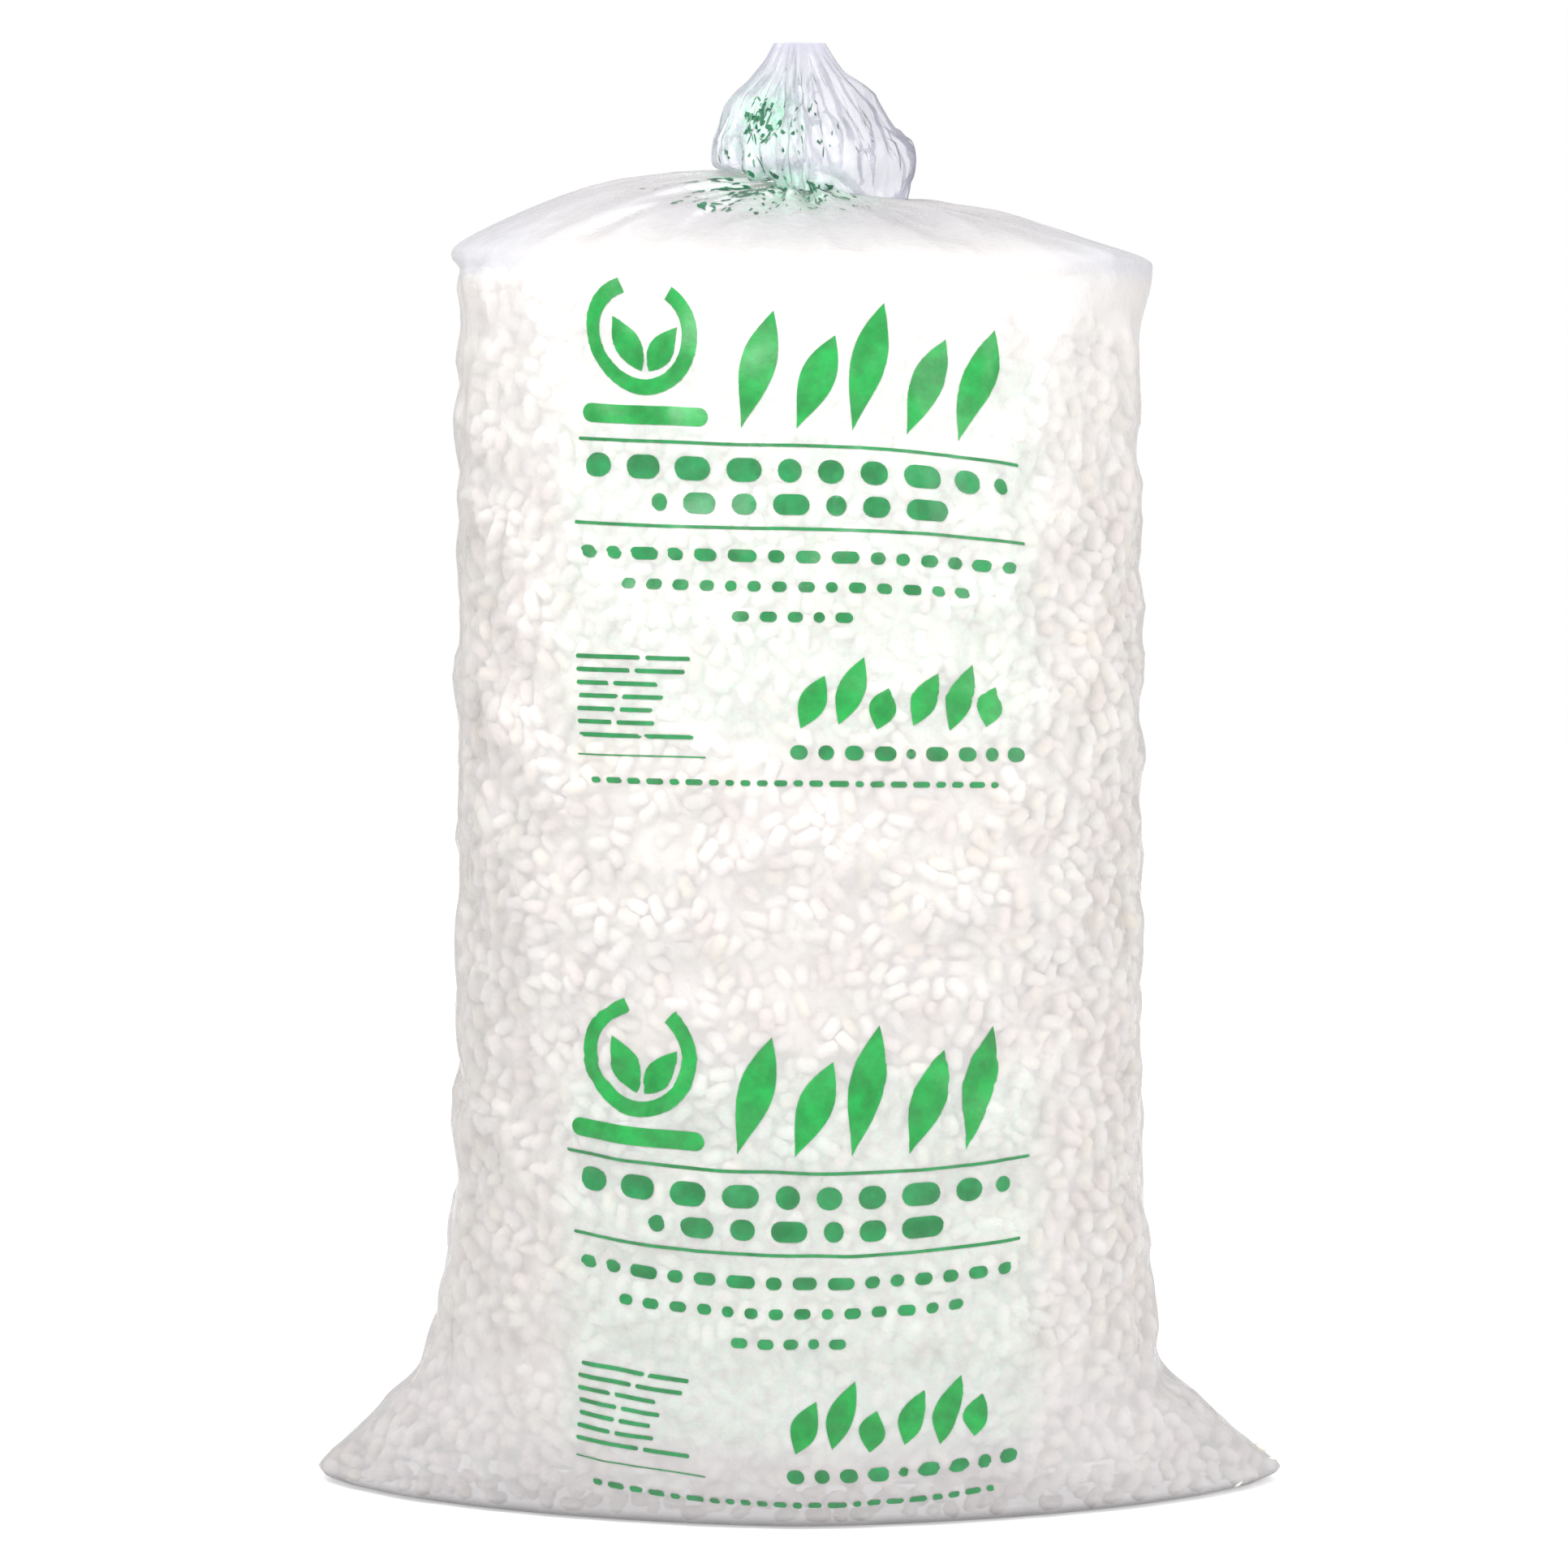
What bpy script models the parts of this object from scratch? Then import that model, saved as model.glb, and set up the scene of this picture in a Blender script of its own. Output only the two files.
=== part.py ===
"""A tall clear film bag of starch loosefill, sealed flat along its foot and tied in a gathered neck.

Metres, +Z up. The bag stands on its flat base with the origin at the base's centre, the seal and
its two pointed ears along X, and its printed face towards -Y.
"""

import math
from typing import NamedTuple

import bmesh
import bpy
from mathutils import Vector, noise

# The tube of film, stood up and filled
SEAL_LENGTH = 1.0
BODY_WIDTH = 0.70
BODY_DEPTH = 0.57
BODY_SQUARENESS = 2.45
WALL = 0.001
SEAT_GAP = 0.0003

# The foot: a flat base with the seal's weld along it, and an ear at each end of the seal
BASE_DEPTH = 0.46
BASE_INSET = 0.030
BASE_SQUARENESS = 1.6
WELD_WIDTH = 0.008
WELD_DRAW = 0.0006
EAR_TIP_HEIGHT = 0.014
EAR_HEIGHT = 0.120
EAR_ROOT_LEFT = 0.394
EAR_ROOT_RIGHT = 0.376
EAR_ROOT_SQUARENESS = 2.05
EAR_FOLD_DEPTH = 0.004
EAR_FOLD_COLUMNS = 5
FLARE_LENGTH = 0.11

# Heights of the front, the corners and the crease that runs over the top
SHOULDER_HEIGHT = 1.240
SHOULDER_DEPTH = 0.51
SHOULDER_SQUARENESS = 1.8
CORNER_RISE_LEFT = 0.023
CORNER_RISE_RIGHT = 0.010
CORNER_LOBE_LEFT = 0.004
CORNER_LOBE_RIGHT = 0.010
CREASE_RISE_LEFT = 0.080
CREASE_RISE_RIGHT = 0.063

# The loosefill: where its edge meets the film, and its heaped crest
FILL_DROP_FRONT = 0.020
FILL_DROP_LEFT = 0.023
FILL_DROP_RIGHT = 0.085
FILL_CREST_RISE = 0.045
PEANUT_PITCH = 0.058
PEANUT_RELIEF = 0.010
HOLLOW_DEPTH = 0.011

# The neck and the free end of the film above it
NECK_RISE = 0.013
NECK_RADIUS = 0.014
NECK_LENGTH = 0.014
NECK_FLARE = 0.017
PLEATS = 12
NECK_PLEAT_DEPTH = 0.0022
SHOULDER_PLEAT_DEPTH = 0.010
TUFT_HEIGHT = 0.134
TUFT_WIDTH = 0.208
TUFT_DEPTH = 0.120
TUFT_LEAN = 0.008
TUFT_DROOP_LEFT = 0.014
TUFT_DROOP_RIGHT = 0.036
TUFT_FLOP = 0.024
TUFT_PLEAT_DEPTH = 0.005
TUFT_CRUMPLE = 0.030
TUFT_CRUMPLE_PITCH = 0.062
MOUTH_WIDTH = 0.052
MOUTH_DEPTH = 0.030

# The strap tie round the neck
STRAP_WIDTH = 0.0048
STRAP_THICKNESS = 0.0012
STRAP_HEAD = 0.007
STRAP_HEAD_DEPTH = 0.006
STRAP_HEAD_ROUND = 0.0008
STRAP_TAIL = 0.012

# Fineness of the mesh
COLUMNS_PER_PLEAT = 4
BODY_RINGS = 16
CREST_RINGS = 4
OUTLINE_STEPS = 180
STRAP_STEPS = 48

COLUMNS = PLEATS * COLUMNS_PER_PLEAT
HALF_SEAL = SEAL_LENGTH / 2
HALF_WIDTH = BODY_WIDTH / 2
HALF_DEPTH = BODY_DEPTH / 2
CREASE_LEFT = SHOULDER_HEIGHT + CORNER_RISE_LEFT + CREASE_RISE_LEFT
CREASE_RIGHT = SHOULDER_HEIGHT + CORNER_RISE_RIGHT + CREASE_RISE_RIGHT
CREASE_HEIGHT = (CREASE_LEFT + CREASE_RIGHT) / 2
FILL_HEIGHT = SHOULDER_HEIGHT - FILL_DROP_FRONT
NECK_HEIGHT = CREASE_HEIGHT + NECK_RISE
NECK_OUTER = NECK_RADIUS + NECK_PLEAT_DEPTH
STRAP_OUTER = NECK_OUTER + SEAT_GAP + STRAP_THICKNESS


class Ring(NamedTuple):
    """One turn of the film: its height and plan, how far its ends lift, and the size of its relief."""

    height: float
    left: float
    right: float
    depth: float
    squareness: float = 2.0
    lift_left: float = 0.0
    lift_right: float = 0.0
    lump: float = 0.0
    fold: float = 0.0
    pleat: float = 0.0
    crumple: float = 0.0
    lift_front: float = 0.0
    forward: float = 0.0


def mix(start, end, share):
    return start + (end - start) * share


def ease(share):
    """From 0 to 1, level at both ends."""
    share = min(max(share, 0.0), 1.0)
    return share * share * (3.0 - 2.0 * share)


def foot_rings():
    """From the edge of the flat base, out to the ears' tips, and in along their slanted tops."""
    rings = []
    half_base = BASE_DEPTH / 2
    # share of the tip's height, and of the way out from the base's edge
    for up, out in ((0.0, 0.0), (0.4, 0.7), (1.0, 1.0)):
        reach = HALF_SEAL - BASE_INSET * (1.0 - out)
        depth = half_base + 0.8 * BASE_INSET * out
        rings.append(Ring(up * EAR_TIP_HEIGHT, reach, reach, depth, BASE_SQUARENESS))
    tip_depth = rings[-1].depth
    for share in (0.3, 0.65, 1.0):
        rings.append(
            Ring(
                mix(EAR_TIP_HEIGHT, EAR_HEIGHT, share),
                mix(HALF_SEAL, EAR_ROOT_LEFT, share),
                mix(HALF_SEAL, EAR_ROOT_RIGHT, share),
                mix(tip_depth, HALF_DEPTH, 0.9 * ease(0.4 + 0.6 * share)),
                mix(BASE_SQUARENESS, EAR_ROOT_SQUARENESS, share),
                lump=0.6 * share * PEANUT_RELIEF,
                fold=share * EAR_FOLD_DEPTH,
            )
        )
    return rings


def body_rings():
    """The long barrel, whose rings tilt near the top until they follow the loosefill's edge."""
    rings = []
    edge_left = CORNER_RISE_LEFT - FILL_DROP_LEFT + FILL_DROP_FRONT
    edge_right = CORNER_RISE_RIGHT - FILL_DROP_RIGHT + FILL_DROP_FRONT
    top_depth = mix(HALF_DEPTH, SHOULDER_DEPTH / 2, 0.35)
    for step in range(1, BODY_RINGS + 1):
        share = step / BODY_RINGS
        height = mix(EAR_HEIGHT, FILL_HEIGHT, share)
        flare = math.exp(-(height - EAR_HEIGHT) / FLARE_LENGTH)
        tilt = ease((share - 0.5) / 0.5)
        belly = mix(HALF_DEPTH, HALF_DEPTH * 0.98, flare)
        squareness = mix(BODY_SQUARENESS, EAR_ROOT_SQUARENESS, flare)
        rings.append(
            Ring(
                height,
                mix(HALF_WIDTH, EAR_ROOT_LEFT, flare),
                mix(HALF_WIDTH, EAR_ROOT_RIGHT, flare),
                mix(belly, top_depth, tilt),
                mix(squareness, SHOULDER_SQUARENESS + 0.15, tilt),
                edge_left * tilt,
                edge_right * tilt,
                lump=PEANUT_RELIEF,
                fold=flare * EAR_FOLD_DEPTH,
            )
        )
    return rings


def shoulder_rings():
    """The slack film over the loosefill: up the crease from each corner, back from the front."""
    rings = []
    for share in (1.0, 0.82, 0.63, 0.45, 0.28, 0.15):
        height = mix(SHOULDER_HEIGHT, CREASE_HEIGHT, 1.0 - share**1.6)
        rise = 1.0 - share**3
        lobe = share**12
        left = SHOULDER_HEIGHT + CORNER_RISE_LEFT + rise * CREASE_RISE_LEFT
        right = SHOULDER_HEIGHT + CORNER_RISE_RIGHT + rise * CREASE_RISE_RIGHT
        rings.append(
            Ring(
                height,
                HALF_WIDTH * share + CORNER_LOBE_LEFT * lobe,
                HALF_WIDTH * share + CORNER_LOBE_RIGHT * lobe,
                SHOULDER_DEPTH / 2 * share,
                mix(2.0, SHOULDER_SQUARENESS, share),
                left - height,
                right - height,
                pleat=SHOULDER_PLEAT_DEPTH * (1.0 - share) * min(1.0, 3.0 * share),
            )
        )
    return rings


def neck_rings():
    """In to the gathered neck, along it under the tie, and out again."""
    half = NECK_LENGTH / 2
    wide = NECK_RADIUS + NECK_FLARE
    step_out = 0.2 * NECK_FLARE
    rings = []
    for height, radius in (
        (-half - step_out, wide),
        (-half, NECK_RADIUS),
        (half, NECK_RADIUS),
        (half + step_out, wide),
    ):
        pleat = NECK_PLEAT_DEPTH * mix(1.0, radius / NECK_RADIUS, 0.3)
        rings.append(Ring(NECK_HEIGHT + height, radius, radius, radius, pleat=pleat))
    return rings


def tuft_rings():
    """The film's free end, flopped out over the neck and drooping to the right, narrow at its mouth."""
    rings = []
    base = NECK_HEIGHT + NECK_LENGTH / 2 + 0.2 * NECK_FLARE
    height = NECK_HEIGHT + TUFT_HEIGHT - base
    # share of the height, of the width and depth, and of the droop
    for up, wide, droop in (
        (0.02, 0.40, 0.40),
        (0.04, 0.80, 0.85),
        (0.13, 1.00, 1.00),
        (0.28, 0.97, 0.75),
        (0.46, 0.80, 0.30),
        (0.66, 0.58, 0.0),
        (0.85, 0.34, 0.0),
        (1.00, 0.0, 0.0),
    ):
        half_width = mix(MOUTH_WIDTH, TUFT_WIDTH, wide) / 2
        lean = TUFT_LEAN * (1.0 - up)
        rings.append(
            Ring(
                base + up * height,
                half_width - lean,
                half_width + lean,
                mix(MOUTH_DEPTH, TUFT_DEPTH, wide) / 2,
                lift_left=-TUFT_DROOP_LEFT * droop,
                lift_right=-TUFT_DROOP_RIGHT * droop,
                pleat=TUFT_PLEAT_DEPTH * mix(0.4, 1.0, wide),
                crumple=TUFT_CRUMPLE * min(1.0, 5.0 * up) * wide,
                lift_front=-TUFT_FLOP * droop,
                forward=0.5 * TUFT_DROOP_RIGHT * droop,
            )
        )
    return rings


def outline(ring):
    """Fine points along the back half of a ring, from its right end to its left one."""
    points = []
    for step in range(OUTLINE_STEPS + 1):
        angle = math.pi * step / OUTLINE_STEPS
        end, side = math.cos(angle), max(math.sin(angle), 0.0)
        reach = ring.right if end > 0 else ring.left
        lift = ring.lift_right if end > 0 else ring.lift_left
        x = math.copysign(reach * abs(end) ** (2 / ring.squareness), end)
        y = ring.depth * side ** (2 / ring.squareness)
        points.append(Vector((x, y, ring.height + lift * end * end)))
    return points


def ring_points(ring):
    """Points round a ring from its right end, counter-clockwise from above, evenly along the film."""
    fine = outline(ring)
    lengths = [0.0]
    for start, end in zip(fine, fine[1:]):
        lengths.append(lengths[-1] + (end - start).length)
    back = []
    segment = 0
    for column in range(COLUMNS // 2 + 1):
        target = lengths[-1] * column / (COLUMNS // 2)
        while segment < OUTLINE_STEPS - 1 and lengths[segment + 1] < target:
            segment += 1
        share = (target - lengths[segment]) / (lengths[segment + 1] - lengths[segment])
        back.append(fine[segment].lerp(fine[segment + 1], min(share, 1.0)))
    front = [Vector((point.x, -point.y, point.z)) for point in reversed(back[1:-1])]
    points = back + front
    for column, point in enumerate(points):
        angle = math.tau * column / COLUMNS
        point.y -= ring.forward * math.cos(angle) ** 2
        point.z += ring.lift_front * max(-math.sin(angle), 0.0) ** 2
    return points


def pleat_wave(column):
    """One fold out and one in for each pleat, some deeper than others."""
    pleat = column // COLUMNS_PER_PLEAT
    depth = 0.8 + 0.4 * noise.noise(Vector((1.7 * pleat, 0.4, 0.0)))
    return depth * math.cos(math.tau * column / COLUMNS_PER_PLEAT)


def ear_wave(column):
    """Short upright folds near the two ends of the seal."""
    near = min(column, COLUMNS - column, abs(column - COLUMNS // 2))
    return math.cos(math.pi * near) * max(0.0, 1.0 - near / EAR_FOLD_COLUMNS)


def relief(ring, column, point):
    """How far the film stands out from its plain form."""
    lump = ring.lump * noise.noise(point / PEANUT_PITCH)
    crumple = ring.crumple * noise.noise(point / TUFT_CRUMPLE_PITCH)
    return lump + crumple + ring.pleat * pleat_wave(column) + ring.fold * ear_wave(column)


def bridge(sheet, lower, upper):
    """A band of faces between two closed rows of vertices."""
    for column in range(COLUMNS):
        after = (column + 1) % COLUMNS
        sheet.faces.new((lower[column], lower[after], upper[after], upper[column]))


def close_base(sheet, edge):
    """The flat base inside its edge, with the weld drawn up a little along the middle."""
    half = WELD_WIDTH / 2
    tip_right, tip_left = edge[0], edge[COLUMNS // 2]
    lines = []
    for column in range(1, COLUMNS // 2):
        x = edge[column].co.x
        weld = [(half, 0.0), (half - WELD_DRAW, WELD_DRAW), (WELD_DRAW - half, WELD_DRAW), (-half, 0.0)]
        inner = [sheet.verts.new((x, y, z)) for y, z in weld]
        lines.append([edge[column], *inner, edge[COLUMNS - column]])
    for right, left in zip(lines, lines[1:]):
        for back in range(len(right) - 1):
            sheet.faces.new((right[back], right[back + 1], left[back + 1], left[back]))
    for back in range(len(lines[0]) - 1):
        sheet.faces.new((tip_right, lines[0][back + 1], lines[0][back]))
        sheet.faces.new((tip_left, lines[-1][back], lines[-1][back + 1]))


def film_sheet(rings):
    """The film's outer face, open at its mouth, and its rows of vertices from the foot up."""
    sheet = bmesh.new()
    rows = [[sheet.verts.new(point) for point in ring_points(ring)] for ring in rings]
    close_base(sheet, rows[0])
    for lower, upper in zip(rows, rows[1:]):
        bridge(sheet, lower, upper)
    sheet.normal_update()
    moves = []
    for ring, row in zip(rings, rows):
        for column, vert in enumerate(row):
            moves.append((vert, vert.normal * relief(ring, column, vert.co)))
    for vert, move in moves:
        vert.co += move
    bmesh.ops.triangulate(sheet, faces=sheet.faces[:])
    sheet.normal_update()
    return sheet, rows


def material(name, color, roughness, alpha=1.0):
    made = bpy.data.materials.new(name)
    made.use_nodes = True
    shader = made.node_tree.nodes["Principled BSDF"]
    shader.inputs["Base Color"].default_value = (*color, 1.0)
    shader.inputs["Roughness"].default_value = roughness
    shader.inputs["Metallic"].default_value = 0.0
    shader.inputs["Alpha"].default_value = alpha
    return made


def add_object(name, shape, finish, collection):
    """An object made from a bmesh, which is freed."""
    mesh = bpy.data.meshes.new(name)
    shape.to_mesh(mesh)
    shape.free()
    mesh.materials.append(finish)
    made = bpy.data.objects.new(name, mesh)
    collection.objects.link(made)
    return made


def make_film_bag(rings, collection):
    """The whole tube as one skin, open only through its gathered neck."""
    sheet, _ = film_sheet(rings)
    finish = material("clear_film", (0.90, 0.91, 0.93), 0.25, alpha=0.4)
    bag = add_object("film_bag", sheet, finish, collection)
    bag.data.shade_smooth()
    bag.data.set_sharp_from_angle(angle=math.radians(50))
    skin = bag.modifiers.new("wall", "SOLIDIFY")
    skin.thickness = WALL
    skin.offset = -1.0


def hollow(row, column, point):
    """How deep the filling lies under the film: lumps touch it, with hollows between them."""
    between = 0.5 - 0.5 * math.cos(math.pi * row) * math.cos(math.pi * column)
    uneven = 0.8 + 0.8 * noise.noise(point / PEANUT_PITCH)
    return HOLLOW_DEPTH * between * uneven * min(point.z / EAR_HEIGHT, 1.0)


def press_inside(sheet, rows):
    """Moves the film's outer face in by its wall and the seat, and deeper between the lumps."""
    depths = {vert: (WALL + SEAT_GAP) * min(vert.calc_shell_factor(), 2.0) for vert in sheet.verts}
    for row, verts in enumerate(rows):
        for column, vert in enumerate(verts):
            depths[vert] += hollow(row, column, vert.co)
    moves = [(vert, -depth * vert.normal) for vert, depth in depths.items()]
    for vert, move in moves:
        vert.co += move


def heap_up(sheet, edge):
    """The loosefill's lumpy crest inside its edge."""
    crest = FILL_HEIGHT + FILL_CREST_RISE
    lower = edge
    for ring in range(CREST_RINGS, 0, -1):
        share = (ring / (CREST_RINGS + 1)) ** 0.8
        upper = []
        for column, vert in enumerate(edge):
            point = Vector((vert.co.x * share, vert.co.y * share, mix(crest, vert.co.z, share * share)))
            point.z -= share * hollow(ring, column, point)
            upper.append(sheet.verts.new(point))
        bridge(sheet, lower, upper)
        lower = upper
    pole = sheet.verts.new((0.0, 0.0, crest))
    for column in range(COLUMNS):
        sheet.faces.new((lower[column], lower[(column + 1) % COLUMNS], pole))


def make_loosefill(rings, filled, collection):
    """The mass of peanuts: pressed to the film up to its edge, and heaped above it."""
    sheet, rows = film_sheet(rings)
    press_inside(sheet, rows[:filled])
    slack = [vert for row in rows[filled:] for vert in row]
    bmesh.ops.delete(sheet, geom=slack, context="VERTS")
    heap_up(sheet, rows[filled - 1])
    bmesh.ops.triangulate(sheet, faces=sheet.faces[:])
    fill = add_object("loosefill", sheet, material("starch_foam", (0.90, 0.87, 0.84), 0.85), collection)
    fill.data.shade_smooth()


def strap_block(name, size, centre, finish, cutters):
    """A block of the tie, rounded a little, to be joined to its loop."""
    block = bmesh.new()
    bmesh.ops.create_cube(block, size=1.0)
    bmesh.ops.scale(block, vec=size, verts=block.verts)
    bmesh.ops.translate(block, vec=centre, verts=block.verts)
    round_off = min(STRAP_HEAD_ROUND, 0.2 * min(size))
    bmesh.ops.bevel(block, geom=block.edges[:], offset=round_off, segments=2, profile=0.5, affect="EDGES")
    made = add_object(name, block, finish, cutters)
    made.hide_render = True
    made.display_type = "WIRE"
    return made


def make_neck_tie(collection, cutters):
    """A strap round the neck, its locking head at the back and its tail cut short."""
    finish = material("tie_nylon", (0.86, 0.86, 0.84), 0.4)
    profile = bmesh.new()
    half = STRAP_WIDTH / 2
    inner = STRAP_OUTER - STRAP_THICKNESS
    corners = ((STRAP_OUTER, half), (STRAP_OUTER, -half), (inner, -half), (inner, half))
    verts = [profile.verts.new((radius, 0.0, NECK_HEIGHT + height)) for radius, height in corners]
    for start, end in zip(verts, verts[1:] + verts[:1]):
        profile.edges.new((start, end))
    tie = add_object("neck_tie", profile, finish, collection)
    turn = tie.modifiers.new("turn", "SCREW")
    turn.steps = turn.render_steps = STRAP_STEPS
    turn.use_merge_vertices = True
    turn.merge_threshold = 0.00001

    middle = STRAP_OUTER - STRAP_THICKNESS / 2 + STRAP_HEAD_DEPTH / 2
    reach = STRAP_TAIL + STRAP_HEAD / 2
    head = strap_block(
        "strap_head", (STRAP_HEAD, STRAP_HEAD_DEPTH, STRAP_HEAD), (0.0, middle, NECK_HEIGHT), finish, cutters
    )
    tail = strap_block(
        "strap_tail", (reach, STRAP_THICKNESS, STRAP_WIDTH), (-reach / 2, middle, NECK_HEIGHT), finish, cutters
    )
    for block in (head, tail):
        joined = tie.modifiers.new(block.name, "BOOLEAN")
        joined.operation = "UNION"
        joined.object = block


def main():
    for old in list(bpy.data.objects):
        bpy.data.objects.remove(old, do_unlink=True)
    collection = bpy.data.collections.new("packing_peanut_bag")
    cutters = bpy.data.collections.new("cutters")
    bpy.context.scene.collection.children.link(collection)
    bpy.context.scene.collection.children.link(cutters)

    filled = foot_rings() + body_rings()
    rings = filled + shoulder_rings() + neck_rings() + tuft_rings()
    make_film_bag(rings, collection)
    make_loosefill(rings, len(filled), collection)
    make_neck_tie(collection, cutters)


main()
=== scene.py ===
"""The looks of a tall clear film bag of starch loosefill, tied in a gathered neck.

The film is one lay-flat tube, worked out as rows and columns of points: a row is a turn of the
film at one height, and a column is a line that runs up the film from the seal to the mouth.
Lengths are in metres, with x to the right, y to the back and z up.
"""
import math
import random
from typing import NamedTuple

import bmesh
import bpy
import numpy as np
from mathutils import Matrix, Vector, noise


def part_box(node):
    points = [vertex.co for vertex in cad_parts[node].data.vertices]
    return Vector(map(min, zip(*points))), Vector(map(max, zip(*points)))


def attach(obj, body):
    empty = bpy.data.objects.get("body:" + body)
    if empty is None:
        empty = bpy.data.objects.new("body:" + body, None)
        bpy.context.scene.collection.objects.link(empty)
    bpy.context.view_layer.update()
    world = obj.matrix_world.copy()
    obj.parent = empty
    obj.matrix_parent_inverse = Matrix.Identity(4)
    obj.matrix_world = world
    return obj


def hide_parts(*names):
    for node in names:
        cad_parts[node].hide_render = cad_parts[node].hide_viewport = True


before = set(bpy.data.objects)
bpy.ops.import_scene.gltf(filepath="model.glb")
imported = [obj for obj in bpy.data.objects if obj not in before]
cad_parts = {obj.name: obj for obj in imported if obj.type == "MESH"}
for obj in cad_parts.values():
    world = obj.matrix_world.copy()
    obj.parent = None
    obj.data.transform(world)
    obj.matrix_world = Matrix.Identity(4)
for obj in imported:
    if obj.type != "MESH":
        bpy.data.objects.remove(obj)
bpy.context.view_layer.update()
bag_low, bag_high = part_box("film_bag")
tie_low, tie_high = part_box("neck_tie")

# The filled tube, as in the part
HALF_SEAL = (bag_high.x - bag_low.x) / 2
BODY_WIDTH = 0.70
BODY_DEPTH = 0.57
BODY_SQUARENESS = 2.45
BASE_DEPTH = 0.46
BASE_INSET = 0.030
BASE_SQUARENESS = 1.6
WELD_DRAW = 0.0006
EAR_TIP_HEIGHT = 0.014
EAR_HEIGHT = 0.120
EAR_ROOT_LEFT = 0.394
EAR_ROOT_RIGHT = 0.376
EAR_ROOT_SQUARENESS = 2.05
EAR_THIN_LENGTH = 0.085
EAR_FOLDS = (0.0034, 0.0014)
EAR_FOLD_SPREAD = 0.42
FLARE_LENGTH = 0.11

# Heights of the front, the corners and the crease that runs over the top
SHOULDER_HEIGHT = 1.240
SHOULDER_DEPTH = 0.51
SHOULDER_SQUARENESS = 1.8
CORNER_RISE_LEFT = 0.023
CORNER_RISE_RIGHT = 0.010
CORNER_LOBE_LEFT = 0.004
CORNER_LOBE_RIGHT = 0.010
CREASE_RISE_LEFT = 0.080
CREASE_RISE_RIGHT = 0.063
FRONT_CURVE = 1.6
CREASE_CURVE = 3
SHOULDER_PLEAT = 0.0065
GATHER_FOLDS = (0.0060, 0.0042, 0.0016)
FILL_DROP_FRONT = 0.020
FILL_DROP_LEFT = 0.023
FILL_DROP_RIGHT = 0.085
FILL_CREST_RISE = 0.045
LUMP_PITCH = 0.058
LUMP_RELIEF = 0.010

# The neck and the free end of the film above it
NECK_HEIGHT = (tie_low.z + tie_high.z) / 2
NECK_RADIUS = 0.014
NECK_LENGTH = 0.014
NECK_FLARE = 0.017
NECK_FLARE_RISE = 0.2 * NECK_FLARE
NECK_PLEAT_SHARE = 0.15
NECK_GATHER = 0.15
PLEAT_COUNTS = (21, 15, 17)
PLEAT_REACH = 0.25
TUFT_WIDTH = 0.208
TUFT_DEPTH = 0.120
TUFT_HEIGHT = bag_high.z - NECK_HEIGHT
TUFT_LEAN = 0.006
TUFT_DROOP_LEFT = 0.013
TUFT_DROOP_RIGHT = 0.062
TUFT_FLOP = 0.050
TUFT_PLEAT = 0.0100
TUFT_LOBE = 0.024
TUFT_LOBE_PITCH = 0.062
TUFT_CREASES = ((0.022, 0.060), (0.0050, 0.027), (0.0013, 0.011))
TUFT_CLEAR = 0.003
MOUTH_WIDTH = 0.052
MOUTH_DEPTH = 0.014
MOUTH_PLEAT = 0.0010

# Up the tuft: shares of its height, of its full width and of its full droop
TUFT_STATIONS = (
    (0.02, 0.34, 0.40),
    (0.04, 0.62, 0.85),
    (0.10, 0.90, 1.00),
    (0.28, 1.00, 0.75),
    (0.46, 0.74, 0.30),
    (0.66, 0.44, 0.0),
    (0.85, 0.17, 0.0),
    (1.00, 0.0, 0.0),
)

# How milky the film is, as a share of light that it stops, and how grey its painted shade makes it where it
# hangs slack
WELD_HAZE = 0.9
EAR_TIP_HAZE = 0.7
FOOT_HAZE = 0.62
FOOT_HAZE_FADE = 0.2
BODY_HAZE = 0.45
EDGE_SHEEN_HAZE = 0.12
SLACK_HAZE = 0.27
TUFT_HAZE = 0.36
MOUTH_HAZE = 0.76
SHOULDER_SLACK_SHADE = 0.35
NECK_SLACK_SHADE = 0.45
TUFT_SLACK_SHADE = 0.62

# The film's fineness, and the stations of the coarse form
COLUMNS = 352
COARSE_COLUMNS = 24
FRONT_COLUMN = COLUMNS * 3 // 4
ROW_PITCH = 0.0070
TUFT_ROW_PITCH = 0.0032
BODY_STATIONS = 20
BASE_ROWS = 7
OUTLINE_STEPS = 180

# The peanuts, tried at so many places for each square metre
PEANUT_LENGTH = 0.027
PEANUT_WIDTH = 0.0160
PEANUT_KINDS = 12
PEANUTS_A_PIECE = 3000
PEANUT_TILT = 0.30
CREST_TILT = 0.5
CREST_REACH = 0.94
PEANUT_SQUEEZE = 0.86
PEANUT_BALLS = (-1.0, 0.0, 1.0)
PACKING_CELL = 0.036
PACKING_DEPTH = 0.019
PACKING_TRIES = 12000
PACKING_INSET = 0.0025
PEANUT_SWELL = 0.0012
FILM_CLEAR = 0.0008
FILM_SAG = 0.006
FILM_RISE = 0.008
PATCH_REACH = 0.021
STRETCH_STEPS = 26
HEAP_COLUMNS = 120
HEAP_PITCH = 0.020
HEAP_RELIEF = 0.007
HEAP_INSET = 1.5 * PEANUT_WIDTH
HEAP_CREST_ROWS = 12
HEAP_TINT = 0.4

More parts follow.
